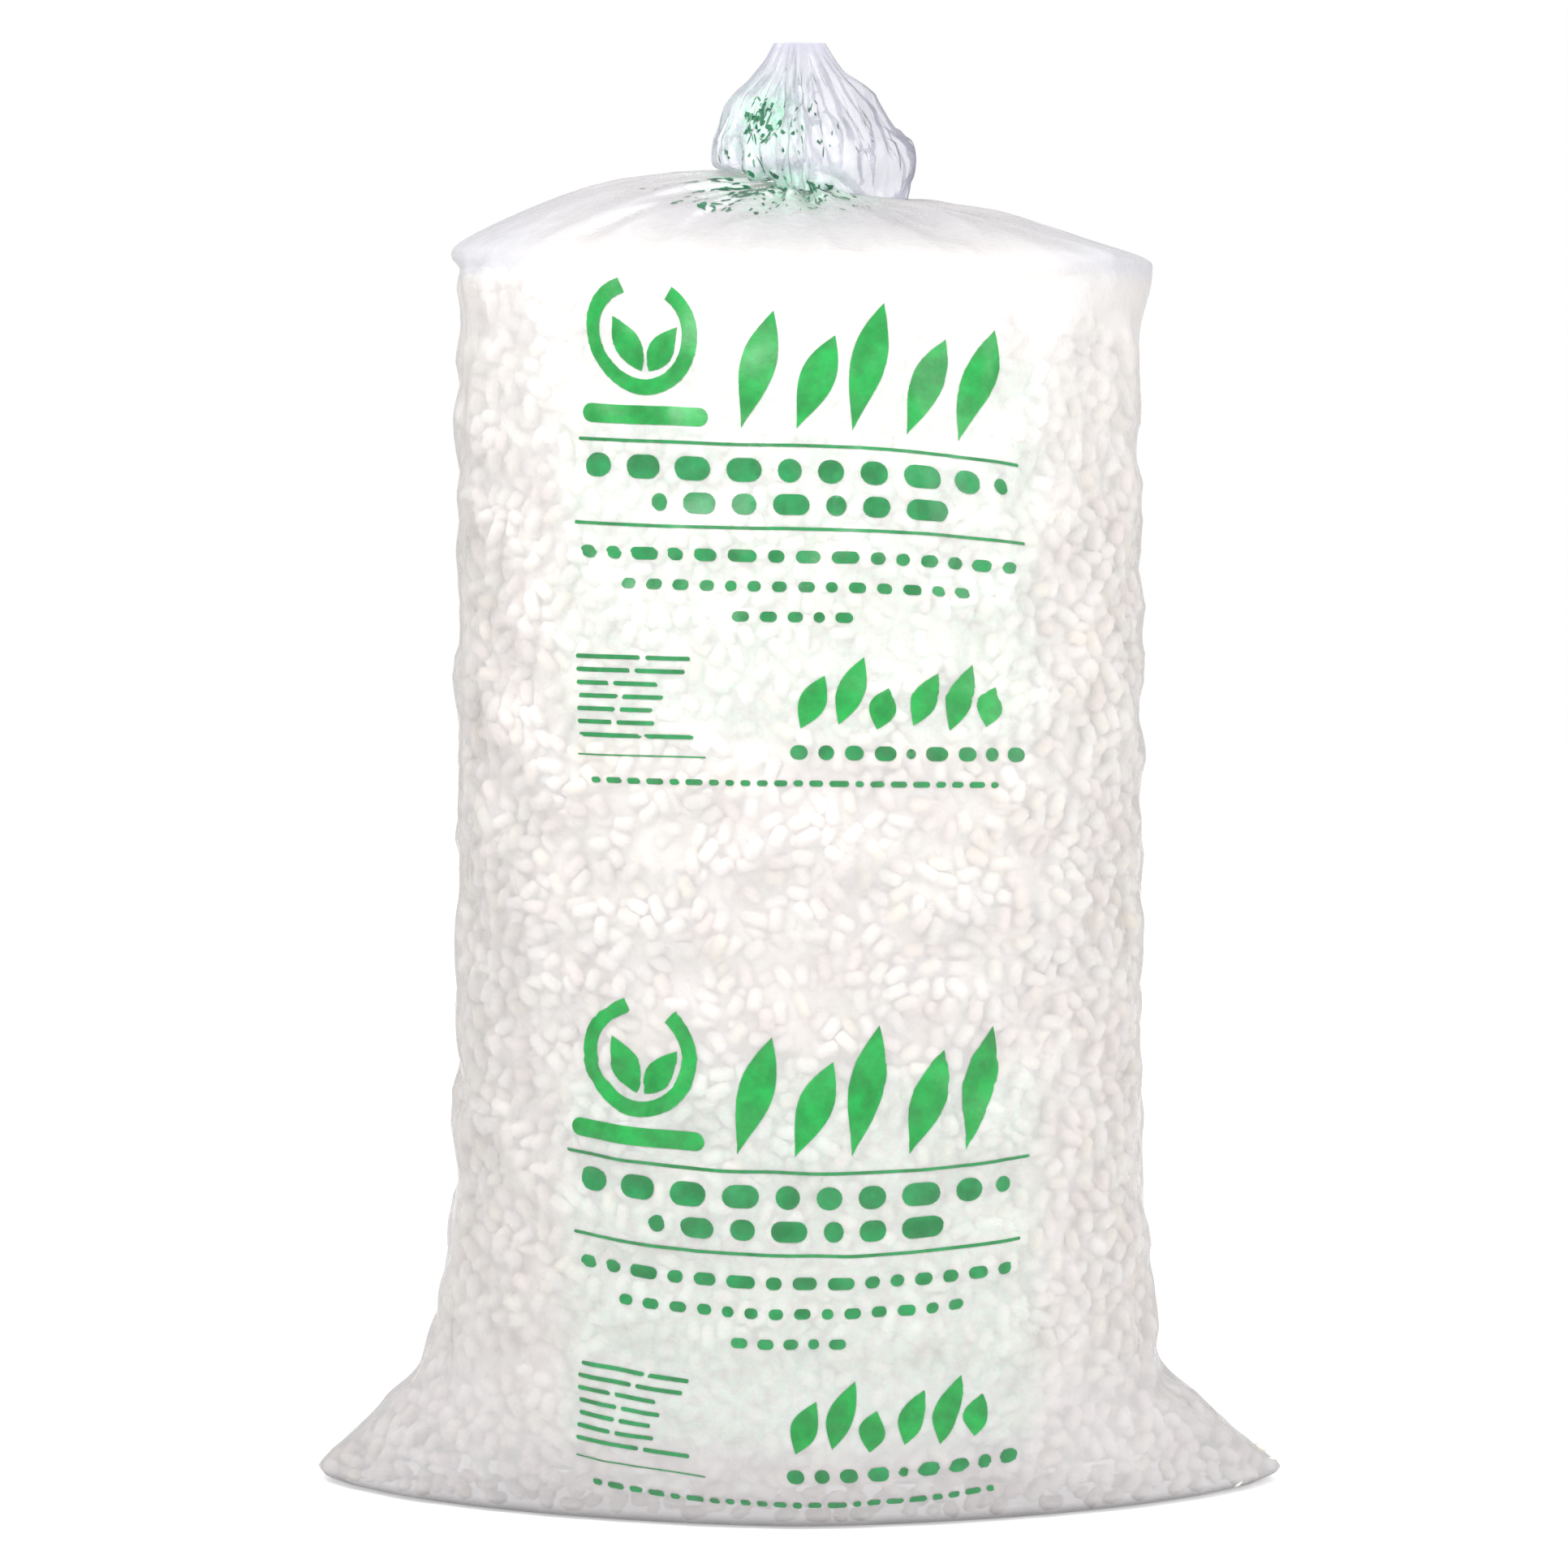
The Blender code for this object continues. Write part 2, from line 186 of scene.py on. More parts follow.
# The print: flat shapes in metres across and up the film, from a first rule's middle
PRINT_HALF = 0.232
PRINT_TOP = 0.18
PRINT_HEIGHT = 0.52
PRINT_CELL = 0.005
PRINT_LIFT = 0.0008
PRINT_TILT = 0.012
UPPER_RULE = 1.060
LOWER_RULE = 0.372
LOWER_SAG = 0.016
LARGE_LEAVES = ((0.118, 16), (0.098, 22), (0.128, 12), (0.104, 20), (0.120, 15))
SMALL_LEAVES = 6
FLECK_SIDES = 8
FLECK_PITCH = 0.0003

# The camera, at the photograph's viewing angle, and the studio
EYE_DISTANCE = 4.5
EYE_HEIGHT = 0.95
EYE_SIDE = -0.016
PHOTO_SIDE = 1932
FOCAL_PIXELS = 5400
HORIZON_ROW = 690
SURROUND_LIGHT = 0.89
FLOOR_GLOW = 0.45
FLOOR_RADIUS = 14.0

SEED = 7


class Ring(NamedTuple):
    """One turn of the film: its height and plan, how far its ends lift, and how slack it is, which sets its
    painted shade.
    """

    height: float
    left: float
    right: float
    depth: float
    squareness: float = 2.0
    lift_left: float = 0.0
    lift_right: float = 0.0
    lump: float = 0.0
    ear: float = 0.0
    gather: float = 0.0
    pleat: float = 0.0
    crumple: float = 0.0
    lift_front: float = 0.0
    forward: float = 0.0
    haze: float = 0.0
    slack: float = 0.0


def mix(start, end, share):
    """A share of the way from start to end."""
    return start + (end - start) * share


def ease(share):
    """From 0 to 1, level at both ends."""
    share = np.clip(share, 0.0, 1.0)
    return share * share * (3.0 - 2.0 * share)


def foot_rings():
    """From the edge of the flat base, out to the ears' tips, and in along their slanted tops."""
    rings = []
    half_base = BASE_DEPTH / 2
    for up, out, haze in ((0.0, 0.0, WELD_HAZE), (0.4, 0.7, EAR_TIP_HAZE), (1.0, 1.0, FOOT_HAZE)):
        reach = HALF_SEAL - BASE_INSET * (1.0 - out)
        depth = half_base + 0.8 * BASE_INSET * out
        rings.append(Ring(up * EAR_TIP_HEIGHT, reach, reach, depth, BASE_SQUARENESS, haze=haze))
    tip_depth = rings[-1].depth
    for share in (0.3, 0.65, 1.0):
        rings.append(
            Ring(
                mix(EAR_TIP_HEIGHT, EAR_HEIGHT, share),
                mix(HALF_SEAL, EAR_ROOT_LEFT, share),
                mix(HALF_SEAL, EAR_ROOT_RIGHT, share),
                mix(tip_depth, BODY_DEPTH / 2, 0.9 * ease(0.4 + 0.6 * share)),
                mix(BASE_SQUARENESS, EAR_ROOT_SQUARENESS, share),
                lump=0.6 * share,
                ear=share,
                haze=FOOT_HAZE,
            )
        )
    return rings


def body_rings():
    """The long barrel, whose rings tilt near the top until they follow the loosefill's edge."""
    rings = []
    edge_left = CORNER_RISE_LEFT - FILL_DROP_LEFT + FILL_DROP_FRONT
    edge_right = CORNER_RISE_RIGHT - FILL_DROP_RIGHT + FILL_DROP_FRONT
    fill_height = SHOULDER_HEIGHT - FILL_DROP_FRONT
    half_width, half_depth = BODY_WIDTH / 2, BODY_DEPTH / 2
    top_depth = mix(half_depth, SHOULDER_DEPTH / 2, 0.35)
    for step in range(1, BODY_STATIONS + 1):
        share = step / BODY_STATIONS
        height = mix(EAR_HEIGHT, fill_height, share)
        flare = math.exp(-(height - EAR_HEIGHT) / FLARE_LENGTH)
        tilt = ease((share - 0.5) / 0.5)
        belly = mix(half_depth, half_depth * 0.98, flare)
        squareness = mix(BODY_SQUARENESS, EAR_ROOT_SQUARENESS, flare)
        low_haze = (FOOT_HAZE - BODY_HAZE) * math.exp(-height / FOOT_HAZE_FADE)
        # Painted sheen: the film is made milkier near the loosefill's edge, which lightens the top of the
        # body
        edge_sheen_haze = EDGE_SHEEN_HAZE * ease(4.0 * share - 3.0)
        rings.append(
            Ring(
                height,
                mix(half_width, EAR_ROOT_LEFT, flare),
                mix(half_width, EAR_ROOT_RIGHT, flare),
                mix(belly, top_depth, tilt),
                mix(squareness, SHOULDER_SQUARENESS + 0.15, tilt),
                edge_left * tilt,
                edge_right * tilt,
                lump=1.0,
                ear=flare,
                haze=BODY_HAZE + low_haze + edge_sheen_haze,
            )
        )
    return rings


def shoulder_rings():
    """The slack film over the loosefill: up the crease from each corner, back from the front."""
    rings = []
    crease_left = SHOULDER_HEIGHT + CORNER_RISE_LEFT + CREASE_RISE_LEFT
    crease_right = SHOULDER_HEIGHT + CORNER_RISE_RIGHT + CREASE_RISE_RIGHT
    crease_height = (crease_left + crease_right) / 2
    for share in (1.0, 0.82, 0.63, 0.45, 0.28, 0.15):
        height = mix(SHOULDER_HEIGHT, crease_height, 1.0 - share**FRONT_CURVE)
        rise = 1.0 - share**CREASE_CURVE
        lobe = share**12
        left = SHOULDER_HEIGHT + CORNER_RISE_LEFT + rise * CREASE_RISE_LEFT
        right = SHOULDER_HEIGHT + CORNER_RISE_RIGHT + rise * CREASE_RISE_RIGHT
        rings.append(
            Ring(
                height,
                BODY_WIDTH / 2 * share + CORNER_LOBE_LEFT * lobe,
                BODY_WIDTH / 2 * share + CORNER_LOBE_RIGHT * lobe,
                SHOULDER_DEPTH / 2 * share,
                mix(2.0, SHOULDER_SQUARENESS, share),
                left - height,
                right - height,
                gather=(0.25 + 0.75 * (1.0 - share)) * min(1.0, 3.5 * share),
                pleat=SHOULDER_PLEAT * (1.0 - share) * min(1.0, 3.0 * share),
                haze=mix(SLACK_HAZE, BODY_HAZE + EDGE_SHEEN_HAZE, share**3),
                slack=SHOULDER_SLACK_SHADE * ease(2.4 * (1.0 - share) + 0.1),
            )
        )
    return rings


def neck_rings():
    """In to the gathered neck, along it under the tie, and out again."""
    half = NECK_LENGTH / 2
    wide = NECK_RADIUS + NECK_FLARE
    rings = []
    for height, radius in (
        (-half - NECK_FLARE_RISE, wide),
        (-half, NECK_RADIUS),
        (half, NECK_RADIUS),
        (half + NECK_FLARE_RISE, wide),
    ):
        rings.append(
            Ring(
                NECK_HEIGHT + height,
                radius,
                radius,
                radius,
                gather=NECK_GATHER,
                pleat=NECK_PLEAT_SHARE * radius,
                haze=TUFT_HAZE,
                slack=NECK_SLACK_SHADE,
            )
        )
    return rings


def tuft_rings():
    """The film's free end, flopped out over the neck and drooping to the right, narrow at its mouth."""
    rings = []
    base = NECK_HEIGHT + NECK_LENGTH / 2 + NECK_FLARE_RISE
    height = NECK_HEIGHT + TUFT_HEIGHT - base
    for up, wide, droop in TUFT_STATIONS:
        half_width = mix(MOUTH_WIDTH, TUFT_WIDTH, wide) / 2
        lean = TUFT_LEAN * (1.0 - up)
        rings.append(
            Ring(
                base + up * height,
                half_width - lean,
                half_width + lean,
                mix(MOUTH_DEPTH, TUFT_DEPTH, wide) / 2,
                lift_left=-TUFT_DROOP_LEFT * droop,
                lift_right=-TUFT_DROOP_RIGHT * droop,
                gather=0.25 * (1.0 - up),
                pleat=mix(MOUTH_PLEAT, TUFT_PLEAT, wide),
                crumple=min(1.0, 5.0 * up) * min(1.0, 5.0 * (1.0 - up)) * mix(0.35, 1.0, wide),
                lift_front=-TUFT_FLOP * droop,
                forward=0.3 * TUFT_DROOP_RIGHT * droop,
                haze=mix(TUFT_HAZE, MOUTH_HAZE, up**6),
                slack=mix(TUFT_SLACK_SHADE, 1.0, up**3),
            )
        )
    return rings


def turns(columns):
    """The angle of each column, from the film's right end, counter-clockwise from above."""
    return math.tau * np.arange(columns) / columns


def ring_points(ring, columns):
    """Points round a ring from its right end, counter-clockwise from above, evenly along the film."""
    angle = np.linspace(0.0, math.pi, OUTLINE_STEPS + 1)
    ends = np.cos(angle)
    sides = np.sin(angle).clip(0.0)
    reach = np.where(ends > 0, ring.right, ring.left)
    lift = np.where(ends > 0, ring.lift_right, ring.lift_left)
    fine = np.stack(
        (
            np.sign(ends) * reach * np.abs(ends) ** (2 / ring.squareness),
            ring.depth * sides ** (2 / ring.squareness),
            ring.height + lift * ends * ends,
        ),
        axis=1,
    )
    lengths = np.append(0.0, np.cumsum(np.linalg.norm(np.diff(fine, axis=0), axis=1)))
    evenly = np.linspace(0.0, lengths[-1], columns // 2 + 1)
    back = np.stack([np.interp(evenly, lengths, fine[:, axis]) for axis in range(3)], axis=1)
    front = back[-2:0:-1] * (1, -1, 1)
    points = np.concatenate((back, front))
    turn = turns(columns)
    points[:, 1] -= ring.forward * np.cos(turn) ** 2
    facing = np.clip(-np.sin(turn), 0.0, None)
    points[:, 2] += ring.lift_front * facing**2 * (1.0 + 0.3 * np.cos(turn))
    return points


def between(stations, places):
    """Rings between the stations, on curves that never pass beyond them."""
    values = np.array(stations)
    steps = np.diff(values, axis=0)
    before, after = steps[:-1], steps[1:]
    total = before + after
    same_way = (before * after > 0) & (np.abs(total) > 1e-12)
    slope = np.where(same_way, 2 * before * after / np.where(same_way, total, 1.0), 0.0)
    slope = np.concatenate((steps[:1], slope, steps[-1:]))
    first = np.minimum(places.astype(int), len(values) - 2)
    share = (places - first)[:, None]
    rest = 1.0 - share
    curve = (
        values[first] * (1 + 2 * share) * rest**2
        + slope[first] * share * rest**2
        + values[first + 1] * (1 + 2 * rest) * share**2
        - slope[first + 1] * rest * share**2
    )
    return [Ring(*row) for row in curve]


def fine_rings(stations, pitch):
    """Rings close enough together for the fine film."""
    places = [0.0]
    coarse = [ring_points(ring, COARSE_COLUMNS) for ring in stations]
    for index, (lower, upper) in enumerate(zip(coarse, coarse[1:])):
        gap = np.linalg.norm(upper - lower, axis=1).max()
        count = max(2, math.ceil(gap / pitch))
        places.extend(index + (step + 1) / count for step in range(count))
    return between(stations, np.array(places))


def field(points, pitch, seed=0.0):
    """Smooth noise at each of an array of points."""
    flat = points.reshape(-1, 3) / pitch + seed
    return np.array([noise.noise(Vector(point)) for point in flat]).reshape(points.shape[:-1])


def crease(value):
    """Turns smooth noise into folds with sharp crests."""
    return 1.0 - 3.2 * np.abs(value)


def face_normals(points):
    """Outward normals of a closed band of rows."""
    along = np.roll(points, -1, axis=1) - np.roll(points, 1, axis=1)
    up = np.gradient(points, axis=0)
    normals = np.cross(along, up)
    return normals / np.maximum(np.linalg.norm(normals, axis=2, keepdims=True), 1e-12)


def column_values(rings, name):
    """One value of every ring, to spread along its row."""
    return np.array([getattr(ring, name) for ring in rings])[:, None]


class Film:
    """A band of film: its rings, its points and its normals, row by row."""

    def __init__(self, rings, columns):
        self.rings = rings
        self.columns = columns
        self.plain = np.stack([ring_points(ring, columns) for ring in rings])
        self.points = self.plain.copy()
        self.normals = face_normals(self.plain)
        steps = np.linalg.norm(np.diff(self.plain, axis=0), axis=2).mean(axis=1)
        self.length = np.append(0.0, np.cumsum(steps))
        self.stain = np.zeros(self.plain.shape[:2])
        # How slack each point is, which sets the painted shade that greys the film
        self.slack = np.repeat([[ring.slack] for ring in rings], columns, axis=1)

    def around(self, folds, rate):
        """Places on an upright cylinder, so that noise read there makes folds that run up the film."""
        turn = turns(self.columns)[None]
        radius = folds / math.tau
        parts = (radius * np.cos(turn), radius * np.sin(turn), rate * self.length[:, None])
        return np.stack([np.broadcast_to(part, self.stain.shape) for part in parts], axis=2)

    def push(self, distance):
        """Moves the film out along its normals."""
        self.points = self.points + self.normals * distance[..., None]
        self.normals = face_normals(self.points)

    def at(self, row, column):
        """The point and normal at a row and column given in parts of a row and column."""
        row = min(max(row, 0.0), len(self.rings) - 1.001)
        low, left = int(row), int(math.floor(column))
        up, side = row - low, column - left
        beside = [left % self.columns, (left + 1) % self.columns]
        found = []
        for grid in (self.points, self.normals):
            lower = mix(*grid[low, beside], side)
            upper = mix(*grid[low + 1, beside], side)
            found.append(mix(lower, upper, up))
        return found


def lump_film(film):
    """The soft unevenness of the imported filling, as on the part."""
    relief = LUMP_RELIEF * field(film.points, LUMP_PITCH)
    film.push(column_values(film.rings, "lump") * relief)


def fold_ears(film):
    """Short upright folds that run up from the two ends of the seal."""
    near = np.exp(-((np.abs(np.sin(turns(film.columns))) / EAR_FOLD_SPREAD) ** 2))[None, :]
    broad = crease(field(film.around(folds=34, rate=5.6), 1.0, seed=3.1))
    fine = crease(field(film.around(folds=70, rate=8.8), 1.0, seed=8.4))
    folds = EAR_FOLDS[0] * broad + EAR_FOLDS[1] * fine
    film.push(column_values(film.rings, "ear") * near * folds)


def gather_film(film):
    """The radiating folds of the slack film, which deepen towards the neck."""
    broad = crease(field(film.around(folds=16, rate=3.1), 1.0, seed=11.7))
    middle = crease(field(film.around(folds=34, rate=5.6), 1.0, seed=5.2))
    fine = field(film.around(folds=80, rate=16.0), 1.0, seed=2.9)
    folds = GATHER_FOLDS[0] * broad + GATHER_FOLDS[1] * middle + GATHER_FOLDS[2] * fine
    film.push(column_values(film.rings, "gather") * folds)


def fold_wave(columns, count, rng):
    """A closed zigzag of folds of unlike widths and heights."""
    ends = np.cumsum([rng.uniform(0.4, 1.6) for _ in range(2 * count)])
    heights = [rng.uniform(0.4, 1.2) * (1 - 2 * (index % 2)) for index in range(2 * count)]
    places = np.append(0.0, ends / ends[-1])
    return np.interp(np.arange(columns) / columns, places, [heights[-1], *heights])


def pleat_film(film, neck_row, rng):
    """The sharp folds that run through the neck, from the slack film to the mouth."""
    waves = [fold_wave(film.columns, count, rng) for count in PLEAT_COUNTS]
    neck = film.length[neck_row]
    start = neck - PLEAT_REACH
    places = np.interp(film.length, (start, neck, film.length[-1]), (0.0, 1.0, 2.0))[:, None]
    above = np.clip(places - 1.0, 0.0, 1.0)
    wave = mix(mix(waves[0], waves[1], np.clip(places, 0.0, 1.0)), waves[2], above)
    film.push(column_values(film.rings, "pleat") * wave * mix(1.0, smooth_lobes(film), above))


def smooth_lobes(film):
    """The share of folds that is left round the tuft, whose two ends are smoother panels."""
    return 1.0 - 0.75 * np.abs(np.cos(turns(film.columns)))[None, :] ** 1.5


def straight_folds(points, pitch, count, rng):
    """Crossing straight creases, as in crumpled film, each strong in some places only."""
    total = np.zeros(points.shape[:2])
    for index in range(count):
        way = np.array([rng.gauss(0.0, 1.0) for _ in range(3)])
        way /= np.linalg.norm(way)
        across = points @ way / pitch + 0.3 * field(points, 2.2 * pitch, 3.7 * index)
        zigzag = 2.0 * np.abs(across % 1.0 - 0.5) - 0.5
        strength = np.clip(0.55 + 1.6 * field(points, 1.7 * pitch, 1.9 * index + 0.6), 0.0, 1.3)
        total += zigzag * strength
    return total / math.sqrt(count)


def slack_height(x, y):
    """The plain height of the slack film over the loosefill."""
    across, deep = x / (BODY_WIDTH / 2), y / (SHOULDER_DEPTH / 2)
    share = np.clip(np.hypot(across, deep), 0.001, 1.0)
    rise = np.where(x > 0, CREASE_RISE_RIGHT, CREASE_RISE_LEFT)
    corner = SHOULDER_HEIGHT + np.where(x > 0, CORNER_RISE_RIGHT, CORNER_RISE_LEFT)
    both_rises = CORNER_RISE_LEFT + CREASE_RISE_LEFT + CORNER_RISE_RIGHT + CREASE_RISE_RIGHT
    front = mix(SHOULDER_HEIGHT, SHOULDER_HEIGHT + both_rises / 2, 1.0 - share**FRONT_CURVE)
    return mix(front, corner + rise * (1.0 - share**CREASE_CURVE), (across / share) ** 2)


def crumple_film(film, rng):
    """The tuft's lobes, straight creases and small facets."""
    amount = column_values(film.rings, "crumple")
    first = int(np.flatnonzero(amount[:, 0] > 0.0)[0])
    for size, pitch in TUFT_CREASES:
        relief = np.zeros(film.stain.shape)
        points = film.points[first:]
        relief[first:] = size * straight_folds(points, pitch, 5, rng)
        if (size, pitch) == TUFT_CREASES[0]:
            relief[first:] += TUFT_LOBE * field(points, TUFT_LOBE_PITCH)
        else:
            relief *= mix(1.0, smooth_lobes(film), 0.8)
        film.push(amount * relief)
    x, y, z = np.moveaxis(film.points[first:], 2, 0)
    resting = np.maximum(z, slack_height(x, y) + TUFT_CLEAR)
    past_neck = np.hypot(x, y) > 1.2 * (NECK_RADIUS + NECK_FLARE)
    film.points[first:, :, 2] = np.where(past_neck, resting, z)


class Packing:
    """Peanuts laid one by one, each as near to the film as those before it let it lie.

    A peanut is kept clear of the others as a row of balls along its axis.
    """

    def __init__(self):
        self.cells = {}

    def cell(self, point):
        """The cell of space that a point is in."""
        return tuple(int(math.floor(value / PACKING_CELL)) for value in point)

    def near(self, point):
        """The balls of the peanuts round a point."""
        i, j, k = self.cell(point)
        found = []
        for x in (i - 1, i, i + 1):
            for y in (j - 1, j, j + 1):
                for z in (k - 1, k, k + 1):
                    found.extend(self.cells.get((x, y, z), ()))
        return np.array(found)

    def depth(self, balls, normal):
        """How far a peanut has to sink from the film to lie clear of the others."""
        others = self.near(balls[1] - 0.5 * PACKING_DEPTH * normal)
        if not len(others):
            return 0.0
        away = balls[:, None] - others[None]
        along = away @ normal
        clear = PEANUT_SQUEEZE * PEANUT_WIDTH
        inside = along**2 - np.sum(away * away, axis=2) + clear**2
        meets = inside > 0
        reach = np.sqrt(inside[meets])
        spans = sorted(zip((along[meets] - reach).tolist(), (along[meets] + reach).tolist()))
        depth = 0.0
        for start, end in spans:
            if start <= depth < end:
                depth = end
        return depth

    def lay(self, point, normal, turned, tip):
        """Settles a peanut under a point of the film, and returns its matrix, or None for no room."""
        axis = turned + tip * normal
        axis /= np.linalg.norm(axis)
        ball = PEANUT_WIDTH / 2
        half = PEANUT_LENGTH / 2 - ball
        start = point - normal * (PACKING_INSET + ball + half * abs(float(axis @ normal)))
        balls = np.array([start + share * half * axis for share in PEANUT_BALLS])
        depth = self.depth(balls, normal)
        if depth > PACKING_DEPTH or balls[:, 2].min() - depth * normal[2] < 0.8 * ball:
            return None
        balls = balls - depth * normal
        for centre in balls:
            self.cells.setdefault(self.cell(centre), []).append(centre)
        face = normal - axis * float(axis @ normal)
        face /= np.linalg.norm(face)
        turn = Matrix((face, np.cross(axis, face), axis)).transposed()
        return Matrix.LocRotScale(Vector(start - depth * normal), turn, None)


def turned_about(normal, rng):
    """A level direction in a surface, turned any way."""
    side = np.cross(normal, (0.31, 0.22, 0.93))
    side /= np.linalg.norm(side)
    angle = rng.uniform(0.0, math.tau)
    return math.cos(angle) * side + math.sin(angle) * np.cross(normal, side)


def pack_sides(film, top_row, packing, rng):
    """The peanuts that lie against the film, from the foot up to the loosefill's edge."""
    rows = film.points[: top_row + 1]
    widths = np.linalg.norm(np.roll(rows, -1, axis=1) - rows, axis=2).mean(axis=1)
    heights = np.linalg.norm(np.gradient(rows, axis=0), axis=2).mean(axis=1)
    weights = widths * heights
    weights[rows[:, film.columns // 4, 2] < 0.15 * EAR_TIP_HEIGHT] = 0.0
    tries = int(PACKING_TRIES * weights.sum() * film.columns)
    laid = []
    for low in rng.choices(range(len(rows)), weights=weights.tolist(), k=tries):
        row = low + rng.random()
        column = rng.random() * film.columns
        point, normal = film.at(row, column)
        thin = abs(point[0]) > HALF_SEAL - EAR_THIN_LENGTH and abs(point[1]) < 0.7 * PEANUT_WIDTH
        if thin or row > top_row:
            continue
        tip = rng.uniform(-PEANUT_TILT, PEANUT_TILT)
        matrix = packing.lay(point, normal, turned_about(normal, rng), tip)
        if matrix is not None:
            laid.append((matrix, row, column))
    return laid


def pack_crest(film, top_row, packing, rng):
    """The peanuts heaped above the loosefill's edge, under the slack film."""
    edge = film.points[top_row]
    area = math.pi * BODY_WIDTH * SHOULDER_DEPTH / 4
    laid = []
    for _ in range(int(PACKING_TRIES * area)):
        share = CREST_REACH * math.sqrt(rng.random())
        column = rng.random() * film.columns
        ring = mix(edge[int(column)], edge[(int(column) + 1) % film.columns], column % 1.0)
        x, y = ring[0] * share, ring[1] * share
        lump = LUMP_RELIEF * noise.noise(Vector((x, y, 0.0)) / LUMP_PITCH)
        point = np.array((x, y, crest_height(ring[2], share) + lump))
        up = np.array((0.0, 0.0, 1.0))
        matrix = packing.lay(point, up, turned_about(up, rng), rng.uniform(-CREST_TILT, CREST_TILT))
        if matrix is not None:
            laid.append(matrix)
    return laid


def peanut_shape(kind, rng):
    """One peanut: a short fat extruded nugget with blunt ends, a little bent and waisted."""
    nugget = bmesh.new()
    bmesh.ops.create_uvsphere(nugget, u_segments=8, v_segments=5, radius=1.0)
    bend = rng.uniform(0.05, 0.30)
    twist = rng.uniform(-0.10, 0.10)
    waist = rng.uniform(0.80, 1.0)
    length = rng.uniform(0.80, 1.12) * PEANUT_LENGTH / 2
    width = rng.uniform(0.90, 1.06) * PEANUT_WIDTH / 2
    flat = rng.uniform(0.84, 1.0)
    for vert in nugget.verts:
        x, y, z = vert.co
        radius = math.hypot(x, y)
        along = math.copysign(abs(z) ** 0.75, z)
        swell = radius**-0.55 * mix(waist, 1.0, min(1.0, 1.4 * abs(along))) if radius > 0.01 else 0.0
        rough = 1.0 + 0.22 * noise.noise(Vector((x, y, z)) * 1.3 + Vector((7.3 * kind, 0.0, 0.0)))
        vert.co = Vector(
            (
                (x * swell * rough - bend * (along * along - 0.4)) * width * flat,
                (y * swell * rough + twist * math.sin(math.pi * along)) * width,
                along * length * mix(1.0, rough, 0.4),
            )
        )
    mesh = bpy.data.meshes.new(f"peanut_kind_{kind}")
    nugget.to_mesh(mesh)
    nugget.free()
    return mesh


def drape(film, top_row, peanuts):
    """Stretches the film over the peanuts: it touches their tops and spans the hollows between."""
    height = np.full(film.stain.shape, -FILM_SAG)
    pitch = np.linalg.norm(np.roll(film.points, -1, axis=1) - film.points, axis=2).mean(axis=1)
    reach = PEANUT_WIDTH / 2 + PEANUT_SWELL
    half = (PEANUT_LENGTH - PEANUT_WIDTH) / 2 + PEANUT_SWELL / 2
    span_rows = int(math.ceil(PATCH_REACH / ROW_PITCH))
    for matrix, row, column in peanuts:
        low = int(round(row))
        centre = np.array(matrix.translation)
        axis = np.array(matrix.col[2][:3])
        span = int(math.ceil(PATCH_REACH / max(pitch[min(low, len(pitch) - 1)], 0.002)))
        rows = np.arange(max(low - span_rows, 0), min(low + span_rows + 1, len(height)))
        columns = np.arange(int(column) - span, int(column) + span + 1) % film.columns
        patch = np.ix_(rows, columns)
        offset = film.points[patch] - centre
        normal = film.normals[patch]
        out = np.sum(offset * normal, axis=2)
        flat = offset - out[..., None] * normal
        along = np.clip(flat @ axis, -half, half)
        away = flat - along[..., None] * axis
        gap = np.sum(away * away, axis=2)
        rise = -out + np.sqrt(np.clip(reach**2 - gap, 0.0, None)) + along * (normal @ axis)
        rise = np.where(gap < reach**2, rise, -1.0)
        height[patch] = np.maximum(height[patch], rise)
    obstacle = np.minimum(height, FILM_RISE)
    level = obstacle.copy()
    for _ in range(STRETCH_STEPS):
        beside = np.roll(level, 1, axis=1) + np.roll(level, -1, axis=1)
        above = np.concatenate((level[1:], level[-1:]))
        below = np.concatenate((level[:1], level[:-1]))
        level = np.maximum(obstacle, (beside + above + below) / 4)
    rows = np.arange(len(level))[:, None]
    low_row = np.searchsorted(film.points[:, film.columns // 4, 2], EAR_TIP_HEIGHT)
    fade = ease(rows / (low_row + 1)) * ease((top_row + 10 - rows) / 8.0)
    film.push(fade * (level + FILM_CLEAR))
    film.points[..., 2] = np.maximum(film.points[..., 2], 0.0)


def soft_spot(x, z, middle, spread):
    """A value of 1 in the middle of an oval that fades outwards."""
    return np.exp(-(((x - middle[0]) / spread[0]) ** 2) - ((z - middle[1]) / spread[1]) ** 2)


def stain_film(film, neck_row):
    """A pale bloom of green round the print, strongest where the gathers have folded it up."""
    x, y, z = np.moveaxis(film.points, 2, 0)
    rows = np.arange(len(film.rings))[:, None]
    under = soft_spot(x, np.hypot(x, y), (-0.015, 0.085), (0.075, 0.070))
    inside = soft_spot(x, z - NECK_HEIGHT, (-0.036, 0.050), (0.034, 0.036))
    hem = 0.8 * soft_spot(x, z - NECK_HEIGHT, (-0.025, -0.012), (0.060, 0.016))
    gathered = np.where(rows < neck_row, under, np.maximum(inside, hem))
    printed = np.zeros(film.stain.shape)
    for level in (UPPER_RULE, LOWER_RULE):
        printed += ease((0.21 - np.abs(z - level + 0.10)) / 0.05)
    printed *= 0.24 * ease((PRINT_HALF + 0.02 - np.abs(x)) / 0.04)
    film.stain = np.where(y < 0.0, np.where(z > SHOULDER_HEIGHT, gathered, printed), 0.0)


